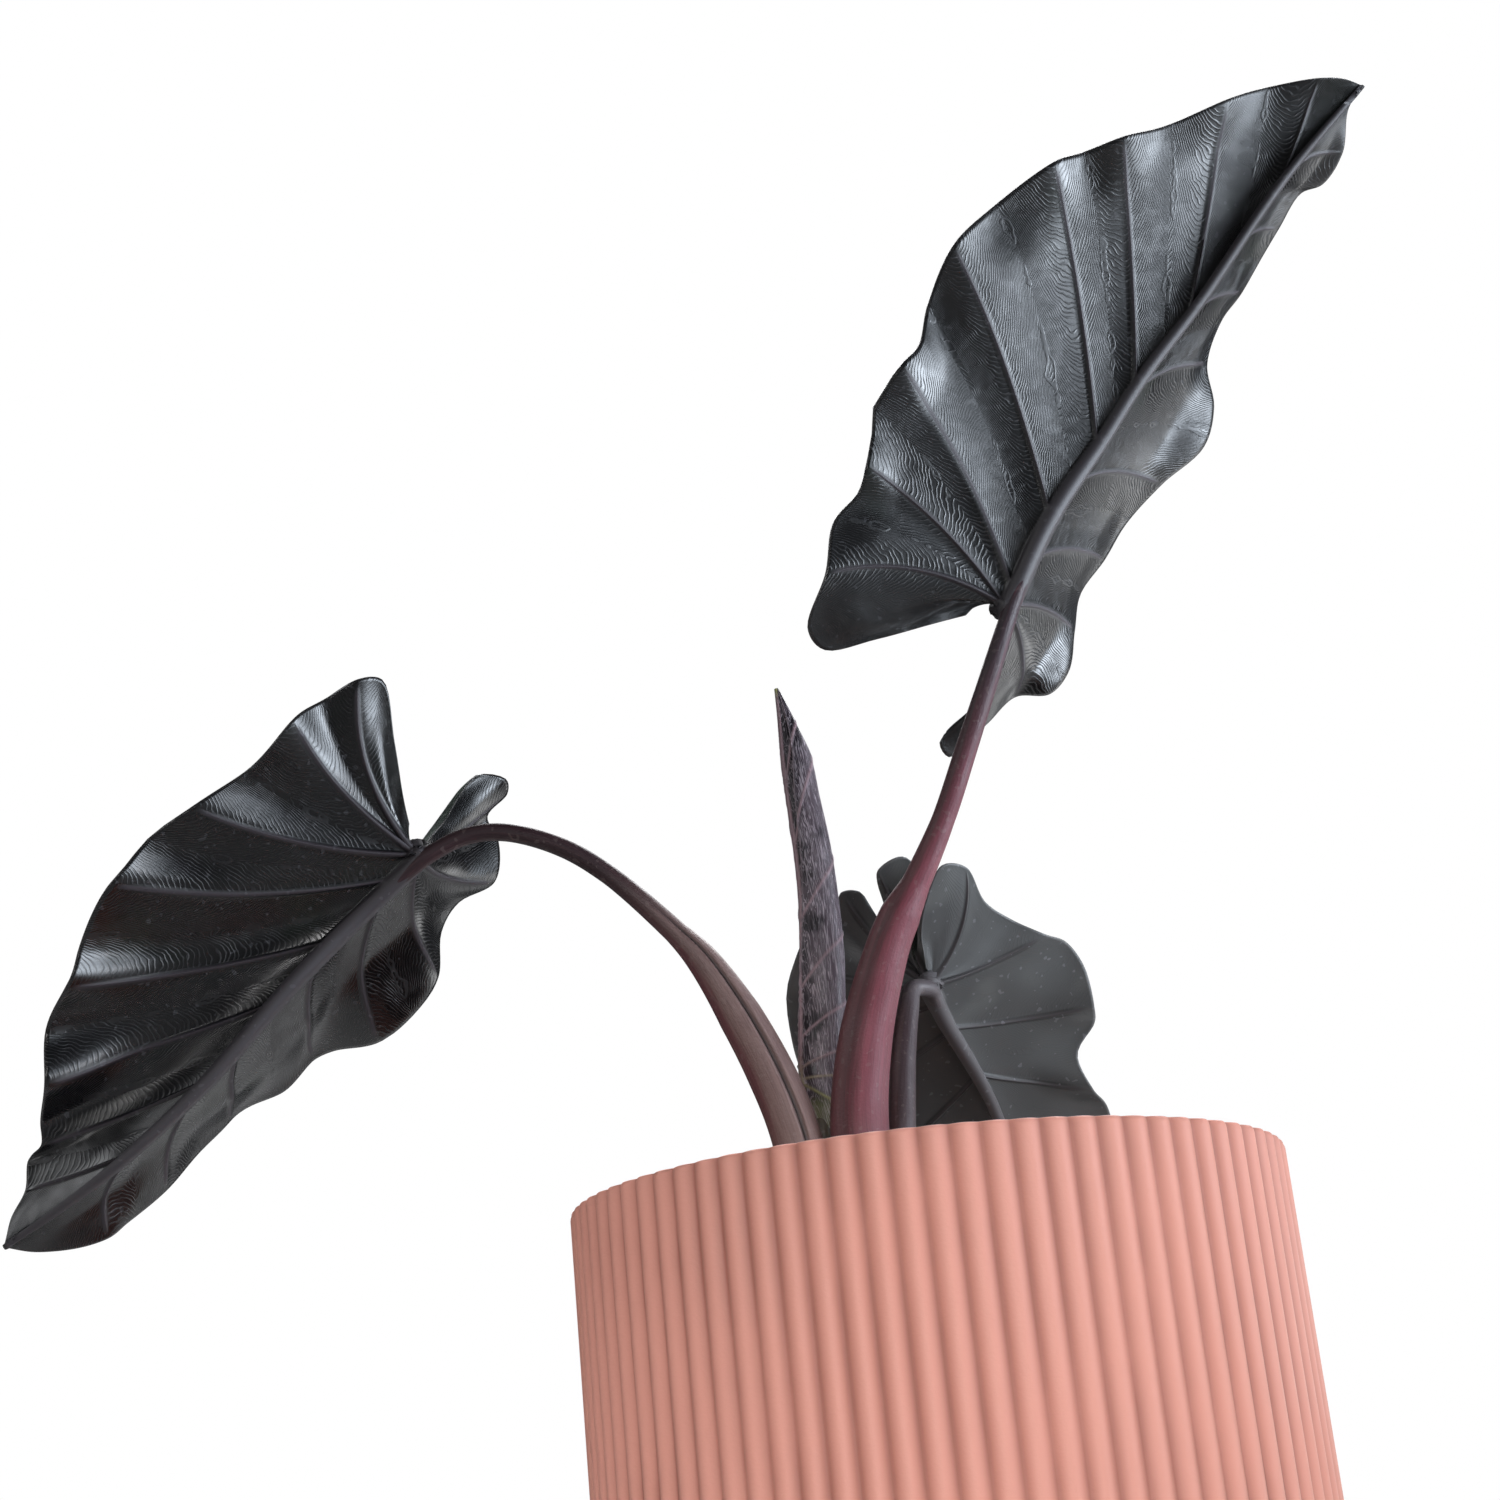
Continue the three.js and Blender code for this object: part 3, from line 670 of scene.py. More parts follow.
@dataclass(frozen=True)
class RolledSkin(Finish):
    """The outside of the rolled new leaf, with its midrib and rising side veins."""

    ground: Paint = (0.007, 0.003, 0.007)
    tone: Paint = (0.1, 0.075, 0.092)
    light: Paint = (0.55, 0.47, 0.52)
    vein: Paint = (0.4, 0.27, 0.3)
    green: Paint = (0.36, 0.37, 0.12)
    rim: Paint = (0.3, 0.24, 0.27)

    def painted(self, bench: Bench) -> dict[str, object]:
        """Dark purple with pale wavy lines and pink veins, and green at its foot and tip.

        Args:
            bench: where its nodes are made.

        Returns:
            Values and sockets, by the name of the shader's socket.
        """
        where, up, around = bench.place(), bench.stored("up"), bench.stored("around")
        bent = bench.times_plus(bench.times(around, around), 0.4, up)
        drawn_out = {0: bench.times(around, 0.9), 1: bench.times(bent, 0.26), 2: 0.0}
        inputs = {"Vector": bench.add("CombineXYZ", drawn_out).outputs[0]}
        inputs |= {"Scale": 0.8, "Detail": 1.5, "Distortion": 1.2}
        waves = bench.figure("SUBTRACT", bench.add("TexNoise", inputs).outputs[0], 0.5)
        wavy = bench.step(bench.figure("ABSOLUTE", waves), 0.055, 0.015)
        blotch = bench.times_plus(around, 0.03, bench.cloud(where, 130.0, 2.0))
        toned = bench.step(blotch, 0.5, 0.74)
        lined = bench.times(wavy, bench.between(toned, 0.4, 0.75))
        ground = bench.blend(lined, bench.blend(toned, self.ground, self.tone), self.light)
        ends = bench.stored("ends")
        vein = bench.blend(ends, self.vein, self.green)
        veined = bench.blend(bench.times(bench.stored("vein"), 0.85), ground, vein)
        keeled = bench.blend(bench.stored("keel"), veined, vein)
        rimmed = bench.blend(bench.stored("rim"), keeled, self.rim)
        grain = bench.grain(where, 75.0, 1800.0, 0.74)
        tips = bench.times(bench.step(ends, 0.8, 1.0), 0.3)
        return {
            "Base Color": bench.blend(tips, rimmed, self.green),
            "Roughness": bench.between(grain["Patch"], 0.36, 0.5),
            "Normal": bench.raised(bench.times_plus(grain["Grain"], 0.3, wavy), 0.0003, 0.8),
        }


# ----------------------------------------------------------------------- sub-assemblies


def finished(mesh: Mesh, name: str, node: str, slot: str, *finishes: Finish) -> Piece:
    """Turns a mesh into a smooth piece of the object, in metres, in the place of its solid.

    Args:
        mesh: the mesh in millimetres, which is freed.
        name: the piece's name.
        node: the solid that it replaces.
        slot: the record's material slot; not used.
        *finishes: its finishes, by the faces' material index.

    Returns:
        The piece, which rides on the object's one body.
    """
    bmesh.ops.scale(mesh, vec=(METRE, METRE, METRE), verts=mesh.verts[:])
    for face in mesh.faces:
        face.smooth = True
    data = bpy.data.meshes.new(name)
    mesh.to_mesh(data)
    mesh.free()
    for finish in finishes:
        data.materials.append(finish.material())
    piece = bpy.data.objects.new(name, data)
    bpy.context.scene.collection.objects.link(piece)
    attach(piece, BODY)
    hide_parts(node)
    log.info("%s: %d faces", name, len(data.polygons))
    return piece


@dataclass(frozen=True)
class CoverPot:
    """The ribbed cover pot, hollow and closed at its flat base."""

    rim_radius: float = 90.0
    height: float = 165.0
    taper: float = math.tan(math.radians(1.3))
    wall: float = 3.6
    floor: float = 4.0
    ribs: int = 84
    points_per_rib: int = 12
    groove: float = 1.6
    valley: float = 0.004  # softens the groove's bottom
    # Height over the base, inset, and share of the grooves' depth
    foot_rows: tuple[Triple, ...] = ((0.0, 3.1, 0), (0.25, 1.6, 0.2), (0.8, 0.6, 0.7), (1.6, 0, 1))
    wall_rows: int = 8
    # The same for the rim's outer edge, down from its top; and for its inner edge, without grooves
    rim_rows: tuple[Triple, ...] = (
        (1.6, 0.0, 1.0), (0.9, 0.12, 0.98), (0.4, 0.38, 0.9), (0.1, 0.75, 0.75), (0.0, 1.1, 0.6),
    )
    mouth_rows: tuple[Pair, ...] = ((0.0, 0.9), (0.2, 0.35), (1.0, 0.0))
    finish: Finish = PotPlastic("terracotta_plastic", gloss=0.35)

    def rows(self) -> list[Triple]:
        """Lists the wall's rings, from the base up the outside and down the inside.

        Returns:
            The height, the inset and the share of the grooves' depth of each.
        """
        low, high = self.foot_rows[-1][0], self.height - self.rim_rows[0][0]
        steps = range(1, self.wall_rows)
        outside = [(low + (high - low) * k / self.wall_rows, 0.0, 1.0) for k in steps]
        rim = [(self.height - down, inset, share) for down, inset, share in self.rim_rows]
        rim += [(self.height - down, self.wall - inset, 0.0) for down, inset in self.mouth_rows]
        inside = [(z, self.wall, 0.0) for z in (self.height / 2, self.floor)]
        return [*self.foot_rows, *outside, *rim, *inside]

    def build(self) -> Piece:
        """Lays a grid round the pot and closes its base and its floor.

        Returns:
            The piece.
        """
        sides = self.ribs * self.points_per_rib
        angle = np.linspace(0, TURN, sides + 1)
        part = (np.arange(sides + 1) % self.points_per_rib) / self.points_per_rib
        swell = np.sqrt(np.sin(math.pi * part) ** 2 + self.valley) / math.sqrt(1 + self.valley)
        rows = np.array(self.rows())[..., None]
        height, inset, share = rows[:, 0], rows[:, 1], rows[:, 2]
        radius = self.rim_radius - (self.height - height) * self.taper - inset
        radius = radius - self.groove * share * (1 - swell)
        places = [radius * np.sin(angle), -radius * np.cos(angle), 0 * angle + height]
        # the grooves' depth, which the finish darkens as painted shade
        mesh = laid_tube(np.stack(places, 2), {"groove": share * np.clip(1 - swell, 0, 1)})
        return finished(mesh, "ribbed_cover_pot", "cover_pot", "cover_pot", self.finish)


@dataclass(frozen=True)
class GrowPot:
    """The thin pot that the plant grows in, with its lip."""

    foot: float = 4.3
    height: float = 144.0
    base_radius: float = 66.0
    top_radius: float = 78.0
    wall: float = 1.4
    lip: float = 3.0
    lip_height: float = 9.0
    holes: int = 8
    hole_radius: float = 5.0
    hole_circle: float = 46.0
    hole_margin: float = 3.0
    edge_round: float = 0.35
    sharp_angle: float = 0.9  # radians; edges that are sharper are rounded
    finish: Finish = GrowPlastic("grow_pot_plastic", gloss=0.4)

    def build(self) -> Piece:
        """Spins the pot's profile, drills its base and rounds its edges.

        Returns:
            The piece.
        """
        top, floor = self.foot + self.height, self.foot + self.wall
        step, outer = top - self.lip_height, self.top_radius + self.lip
        plate = self.hole_circle + self.hole_radius + self.hole_margin
        profile = [
            (plate, self.foot), (self.base_radius, self.foot), (self.top_radius, step),
            (outer, step), (outer, top), (outer - self.wall, top),
            (outer - self.wall, step + self.wall), (self.top_radius - self.wall, step + self.wall),
            (self.base_radius - self.wall, floor), (plate, floor),
        ]
        mesh = bmesh.new()
        corners = [mesh.verts.new((r, 0, z)) for r, z in profile]
        edges = [mesh.edges.new(pair) for pair in zip(corners, corners[1:])]
        bmesh.ops.spin(
            mesh, geom=[*corners, *edges], cent=(0, 0, 0), axis=(0, 0, 1), dvec=(0, 0, 0),
            angle=TURN, steps=96, use_merge=True, use_duplicate=False,
        )
        bmesh.ops.recalc_face_normals(mesh, faces=mesh.faces[:])
        self._floor(mesh)
        sharp = [
            e for e in mesh.edges
            if len(e.link_faces) == 2 and e.calc_face_angle(0.0) > self.sharp_angle
        ]
        bmesh.ops.bevel(
            mesh, geom=sharp, offset=self.edge_round, offset_type="OFFSET", affect="EDGES",
            segments=2, profile=0.5, material=-1,
        )
        return finished(mesh, "grow_pot", "nursery_pot", "nursery_pot", self.finish)

    def _floor(self, mesh: Mesh) -> None:
        """Closes the base with a plate that has a ring of round drain holes.

        Args:
            mesh: the spun wall, which is open round its base.
        """
        for turn in (TURN * k / self.holes for k in range(self.holes)):
            x, y = self.hole_circle * math.cos(turn), self.hole_circle * math.sin(turn)
            spot = Matrix.Translation((x, y, self.foot))
            ring = bmesh.ops.create_circle(mesh, segments=24, radius=self.hole_radius, matrix=spot)
            edges = list({e for v in ring["verts"] for e in v.link_edges})
            made = bmesh.ops.extrude_edge_only(mesh, edges=edges)["geom"]
            raised = [v for v in made if isinstance(v, bmesh.types.BMVert)]
            bmesh.ops.translate(mesh, vec=(0, 0, self.wall), verts=raised)
        for level in (self.foot, self.foot + self.wall):
            open_edges = [e for e in mesh.edges if e.is_boundary]
            rim = [e for e in open_edges if all(abs(v.co.z - level) < 1e-4 for v in e.verts)]
            bmesh.ops.triangle_fill(mesh, edges=rim, use_beauty=True)
        bmesh.ops.recalc_face_normals(mesh, faces=mesh.faces[:])


@dataclass(frozen=True)
class SoilBed:
    """The soil in the grow pot, with loose crumbs, bark and grit on it."""

    top: float = 144.0
    lump: float = 1.4
    lump_lengths: Triple = (5.3, 6.1, 3.7)
    fine_lump: float = 0.8
    radius: float = 75.4
    side_foot: float = 120.0
    rings: int = 60
    sides: int = 150
    crumbs: int = 620
    crumb_size: Pair = (0.7, 2.6)
    kinds: Triple = (6, 3, 1)  # how many crumbs are soil, bark and grit
    strewn: float = 0.97  # share of the radius that they reach
    lift: float = 0.15  # of a crumb's size
    seed: int = 7
    finish: Finish = PottingSoil("potting_soil", gloss=0.2)
    bark: Finish = PottingSoil(
        "bark_crumbs", gloss=0.2, dark=(0.05, 0.028, 0.016), light=(0.17, 0.1, 0.055)
    )
    grit: Finish = PottingSoil(
        "pale_grit", gloss=0.3, dark=(0.45, 0.44, 0.41), light=(0.7, 0.69, 0.66)
    )

    def height_at(self, x: float, y: float) -> float:
        """How high the soil's surface lies.

        Args:
            x: the place to the right of the pot's middle.
            y: the place behind it.

        Returns:
            The height over the pot's base.
        """
        along_x, along_y, across = self.lump_lengths
        wave = math.sin(x / along_x) * math.cos(y / along_y) + math.sin((x + y) / across) / 2
        fine = lumps((x, y, 0), 0.55) + 0.5 * lumps((x, y, 3), 1.3)
        return self.top + self.lump * wave + self.fine_lump * fine

    def build(self) -> Piece:
        """Lays the bed's surface, then strews it.

        Returns:
            The piece.
        """
        angle = np.linspace(0, TURN, self.sides + 1)
        radii = np.concatenate([np.linspace(0, self.radius, self.rings), [self.radius]])
        places = np.stack([np.outer(radii, np.cos(angle)), np.outer(radii, np.sin(angle))], 2)
        heights = np.array([[self.height_at(x, y) for x, y in row] for row in places])
        heights[-1] = self.side_foot
        mesh = laid_tube(np.dstack([places, heights]))
        self._strew(mesh)
        return finished(mesh, "soil_bed", "soil", "soil", self.finish, self.bark, self.grit)

    def _strew(self, mesh: Mesh) -> None:
        """Adds loose crumbs, each a small squashed ball that lies in the surface.

        Args:
            mesh: the bed, which takes them up.
        """
        rng = random.Random(self.seed)
        for _ in range(self.crumbs):
            reach, turn = self.radius * self.strewn * math.sqrt(rng.random()), rng.uniform(0, TURN)
            x, y = reach * math.cos(turn), reach * math.sin(turn)
            size = rng.uniform(*self.crumb_size)
            made = bmesh.ops.create_icosphere(mesh, subdivisions=1, radius=size)["verts"]
            shape = Matrix.Diagonal((1.0, rng.uniform(0.5, 1.0), rng.uniform(0.35, 0.8), 1.0))
            spin = Matrix.Rotation(rng.uniform(0, TURN), 4, "Z")
            tilt = Matrix.Rotation(rng.uniform(-0.5, 0.5), 4, "X")
            move = Matrix.Translation((x, y, self.height_at(x, y) + self.lift * size))
            bmesh.ops.transform(mesh, matrix=move @ (spin @ tilt) @ shape, verts=made)
            kind = rng.choices((0, 1, 2), self.kinds)[0]
            for face in {f for v in made for f in v.link_faces}:
                face.material_index = kind


@dataclass(frozen=True)
class Crown:
    """The stout crown that the stalks grow from."""

    centre: Pair = (-18.0, 2.0)
    top: float = 149.0
    # Depth under the top, and radius there
    profile: tuple[Pair, ...] = (
        (21, 14), (15, 20), (7, 23), (2, 22.5), (0, 20), (0.3, 8), (0.5, 0.02),
    )
    lobes: int = 5
    lump: float = 0.05
    dent: float = 0.7
    rings: int = 40
    sides: int = 96
    finish: Finish = CrownBark("crown_bark", gloss=0.25)

    def build(self) -> Piece:
        """Lays a lumpy knob round the crown's middle.

        Returns:
            The piece.
        """
        shares = np.linspace(0, 1, self.rings)
        profile = Spline([(under, radius, 0.0) for under, radius in self.profile]).at(shares)
        angle = np.linspace(0, TURN, self.sides + 1)
        across, along = np.cos(angle), np.sin(angle)
        places = []
        for level, (under, radius, _) in enumerate(profile):
            lobed = 1 + self.lump * np.sin(self.lobes * angle + level / 8)
            ring = np.maximum(radius, 0.0) * lobed
            dents = [lumps((x * 3, y * 3, level * 0.3)) for x, y in zip(across, along)]
            ring = ring + self.dent * np.array(dents) * min(1.0, radius / 8)
            x, y = self.centre[0] + ring * across, self.centre[1] + ring * along
            places.append(np.stack([x, y, self.top - max(under, 0.0) + 0 * angle], 1))
        mesh = laid_tube(np.array(places), seam=0.05)
        return finished(mesh, "crown", "rhizome", "rhizome", self.finish)


def ring_frames(line: Spline, shares: np.ndarray) -> tuple[np.ndarray, np.ndarray, np.ndarray]:
    """Where a tube's rings lie, and their two directions.

    Args:
        line: the tube's centre line.
        shares: shares of its way, one for each ring.

    Returns:
        The middles, the directions towards the viewer, and the directions to the viewer's right.
    """
    heading = line.heading(shares)
    front = np.array([0.0, -1.0, 0.0]) - heading * (-heading[:, 1:2])
    front /= np.linalg.norm(front, axis=1, keepdims=True)
    return line.at(shares), front, np.cross(heading, front)


def widths(path: Sequence[Place], shares: np.ndarray) -> np.ndarray:
    """The widths along a path, whose points have them as a fourth number."""
    return np.interp(shares, np.linspace(0, 1, len(path)), [point[3] for point in path])


@dataclass(frozen=True)
class Blade:
    """A heart-shaped blade in its own frame, with a keeled midrib and arched side veins.

    The origin is where the stalk joins it, +X runs to the tip and +Z is its upper side. Each
    margin runs from the cleft, round the lobe, to the tip. A margin point with a fourth number
    ends a side vein, which leaves the midrib there.
    """

    name: str
    node: str
    at: Triple
    tip: Triple
    upper: Triple
    midrib: tuple[Triple, ...]
    margins: tuple[tuple[Place, ...], tuple[Place, ...]]
    finishes: tuple[Finish, Finish]
    bow: Pair = (0.06, 0.16)
    cup: Pair = (0.02, 0.07)
    quilt: Pair = (0.6, 0.9)
    quilt_share: Pair = (0.25, 1.0)  # of the quilt, near the midrib and the margin
    quilt_turn: Pair = (0.4, 0.9)  # shares of the width between which it grows
    ruffle_turn: Pair = (0.5, 1.0)  # and between which the margin's own waves set in
    curls: tuple[tuple[Triple, ...], tuple[Triple, ...]] = ((), ())  # margin mark, spread, height
    lobe_reach: float = 20.0
    quilt_width: float = 40.0
    keel_foot: Pair = (2.6, 1.2)
    keel_depth: Pair = (4.2, 0.6)
    keel_round: float = 0.7
    keel_lines: tuple[float, ...] = (0.0, 0.3, 0.55, 0.75, 0.9, 1.0, 1.15)  # of its half width
    keel_edge: Pair = (0.85, 1.25)  # where its own look ends, in the same shares
    keel_groove: Pair = (0.45, 1.4)  # depth and width, on the upper side
    vein_depth: Pair = (0.95, 0.15)
    vein_width: Pair = (0.75, 0.35)
    vein_round: float = 2.6
    vein_fade: float = 0.12  # share of the width over which it dies away
    vein_groove: float = 0.35
    thickness: Pair = (0.7, 0.4)
    thin_from: float = 0.8  # share of the width
    usual_width: float = 48.0
    fan_start: float = 0.6  # margin mark
    fan_lines: int = 84
    line_gap: float = 0.95
    columns: int = 46

    def frame(self) -> tuple[np.ndarray, np.ndarray]:
        """Sets up the blade's own frame.

        Returns:
            Its axes as rows, and its origin.
        """
        x = np.array(self.tip, float) - np.array(self.at, float)
        x /= np.linalg.norm(x)
        y = np.cross(np.array(self.upper, float), x)
        y /= np.linalg.norm(y)
        return np.array([x, y, np.cross(x, y)]), np.array(self.at, float)

    def placed(self, local: np.ndarray) -> np.ndarray:
        """Places in the blade's frame as places in the plant's."""
        axes, origin = self.frame()
        return local @ axes + origin

    def _veins(self, side: int) -> list[tuple[int, float]]:
        """The margin marks and midrib roots of one half's side veins."""
        return [(i + 1, p[3]) for i, p in enumerate(self.margins[side]) if len(p) > 3]

    def _shares(self) -> np.ndarray:
        """Shares of the way from the midrib to the margin, close together at the keel."""
        near = np.array(self.keel_lines) * self.keel_foot[0] / self.usual_width
        return np.concatenate([near, np.linspace(near[-1], 1, self.columns + 1)[1:]])

    def half(self, side: int, stations: np.ndarray) -> dict[str, np.ndarray]:
        """One half of the blade as lines from the midrib to the margin.

        Args:
            side: which half.
            stations: where the lines after the lobe's fan leave the midrib.

        Returns:
            The places and the numbers kept with them, by line and by share of the width.
        """
        midrib = Spline(self.midrib)
        margin = self.margins[side]
        last = len(margin) + 1
        edge = Spline([(0, 0, 0), *margin, self.midrib[-1]])
        veins = self._veins(side)
        lobe = [mark for mark, root in veins if root == 0]
        rooted = [(mark, root) for mark, root in veins if root > 0]
        spans = len(lobe)
        counts = [self.fan_lines // spans] * (spans - 1)
        fan = clustered([self.fan_start, *lobe], [*counts, self.fan_lines - sum(counts)])[:-1]
        marks_at = [lobe[-1], *[m for m, _ in rooted], last]
        roots_at = [0.0, *[r for _, r in rooted], midrib.length]
        marks = np.concatenate([fan, np.interp(stations, roots_at, marks_at)])
        roots = np.concatenate([0 * fan, stations])
        start, end = midrib.at_length(roots), edge.at(marks / last)
        width = np.linalg.norm(end - start, axis=1)
        heading = (end - start) / np.maximum(width, 1e-6)[:, None]
        bend = np.array([1.0, 0, 0]) - heading * heading[:, :1]
        bend /= np.maximum(np.linalg.norm(bend, axis=1, keepdims=True), 1e-6)
        bow = mixed(self.bow, np.maximum(0, -heading[:, 0]))
        breaks = np.array([0, *[m for m, _ in veins], last], float)
        after = np.clip(np.searchsorted(breaks, marks, side="left"), 1, len(breaks) - 1)
        between = (marks - breaks[after - 1]) / (breaks[after] - breaks[after - 1])
        reach = np.clip(roots / self.lobe_reach, 0, 1)
        quilt = mixed(self.quilt, reach) * np.sin(math.pi * between) ** 2
        quilt = quilt * np.minimum(1, width / self.quilt_width)
        share = self._shares()
        arch = 4 * share * (1 - share)
        places = start[:, None] + (end - start)[:, None] * share[None, :, None]
        places = places + bend[:, None] * (bow * width)[:, None, None] * arch[None, :, None]
        waved = eased(0.0, 0.2, share) * mixed(self.quilt_share, eased(*self.quilt_turn, share))
        places[..., 2] += (mixed(self.cup, reach) * width)[:, None] * arch + quilt[:, None] * waved
        calm = np.polyval(np.polyfit(marks, end[:, 2], 4), marks)
        ruffle = (end[:, 2] - calm) * np.minimum(1, width / self.quilt_width)
        places[..., 2] += ruffle[:, None] * (eased(*self.ruffle_turn, share) - share)
        for mark, spread, height in self.curls[side]:
            hump = height * np.exp(-(((marks - mark) / spread) ** 2))
            places[..., 2] += hump[:, None] * np.clip(2 * share - 1, 0, 1) ** 2
        vein_lines = [np.argmin(abs(marks - mark)) for mark, _ in veins]
        return self._measured(places, roots / midrib.length, vein_lines)

    def _measured(
        self, places: np.ndarray, reach: np.ndarray, vein_lines: list[int]
    ) -> dict[str, np.ndarray]:
        """Measures a half: distances from its midrib, margin and veins, and its relief.

        Args:
            places: the half's places, by line and by share.
            reach: each line's share of the way along the midrib.
            vein_lines: which lines are side veins.

        Returns:
            The places and the numbers by name.
        """
        steps = np.linalg.norm(np.diff(places, axis=1), axis=2)
        across = np.concatenate([np.zeros((len(places), 1)), np.cumsum(steps, axis=1)], 1)
        steps = np.linalg.norm(np.diff(places, axis=0), axis=2)
        run = np.concatenate([np.zeros((1, places.shape[1])), np.cumsum(steps, axis=0)], 0)
        on_veins = run[vein_lines]
        apart = np.min(abs(run[None] - on_veins[:, None]), axis=0)
        midways = (on_veins[1:] + on_veins[:-1]) / 2
        midway = np.min(abs(run[None] - midways[:, None]), axis=0)
        share = across / np.maximum(across[:, -1:], 1e-6)
        foot = mixed(self.keel_foot, reach)[:, None]
        keel_share = np.clip(1 - (across / foot) ** 2, 0, 1)
        keel = mixed(self.keel_depth, reach)[:, None] * keel_share ** self.keel_round
        wide = mixed(self.vein_width, share)
        vein = mixed(self.vein_depth, share) * np.exp(-((apart / wide) ** self.vein_round))
        vein = vein * eased(0, self.vein_fade, 1 - share)
        dip, dip_width = self.keel_groove
        return {
            "places": places,
            "across": across,
            "apart": apart,
            "midway": midway,
            "inside": across[:, -1:] - across,
            "keel": 1 - eased(*self.keel_edge, across / foot),
            "under": np.maximum(keel, vein),
            "groove": dip * np.exp(-((across / dip_width) ** 2)) + self.vein_groove * vein,
            "body": mixed(self.thickness, eased(self.thin_from, 1, share)),
        }

    def build(self) -> Piece:
        """Lays both halves as one sheet, then gives it two sides with their own relief.

        Returns:
            The piece.
        """
        length = Spline(self.midrib).length
        roots = {r for side in (0, 1) for _, r in self._veins(side) if r > 0}
        breaks = [0.0, *sorted(roots), length]
        breaks = [b for i, b in enumerate(breaks) if i == 0 or b - breaks[i - 1] > 0.5]
        counts = [max(3, round((b - a) / self.line_gap)) for a, b in zip(breaks, breaks[1:])]
        stations = clustered(breaks, counts)
        first, second = (self.half(side, stations) for side in (0, 1))
        whole = {k: np.concatenate([first[k][:, ::-1], second[k][:, 1:]], 1) for k in first}
        places = self.placed(whole.pop("places"))
        mesh = laid_grid(places, whole)
        close_seam(mesh, 0.03)
        self._give_sides(mesh)
        return finished(mesh, self.name, self.node, "blade", *self.finishes)

    def _give_sides(self, mesh: Mesh) -> None:
        """Thickens the sheet: ribs stand out underneath and lie in grooves above.

        Args:
            mesh: the sheet, whose corners keep how far each side moves.
        """
        upper = Vector(self.frame()[0][2])
        mesh.normal_update()
        if sum(face.normal.dot(upper) * face.calc_area() for face in mesh.faces) < 0:
            bmesh.ops.reverse_faces(mesh, faces=mesh.faces[:])
        mesh.normal_update()
        aside = mesh.verts.layers.float_vector.new("aside")
        for corner in mesh.verts:
            corner[aside] = corner.normal
        sheet = mesh.faces[:]
        made = bmesh.ops.extrude_face_region(mesh, geom=sheet, use_keep_orig=True)["geom"]
        above = {v for v in made if isinstance(v, bmesh.types.BMVert)}
        layers = mesh.verts.layers.float
        body, groove, under = (layers[name] for name in ("body", "groove", "under"))
        for corner in mesh.verts:
            if corner in above:
                move = corner[body] / 2 - corner[groove]
            else:
                move = -corner[body] / 2 - corner[under]
            corner.co += corner[aside] * move
        for face in mesh.faces:
            on_top = all(v in above for v in face.verts)
            face.material_index = Side.UPPER.value if on_top else Side.UNDER.value
        bmesh.ops.recalc_face_normals(mesh, faces=mesh.faces[:])
        mesh.verts.layers.float_vector.remove(aside)


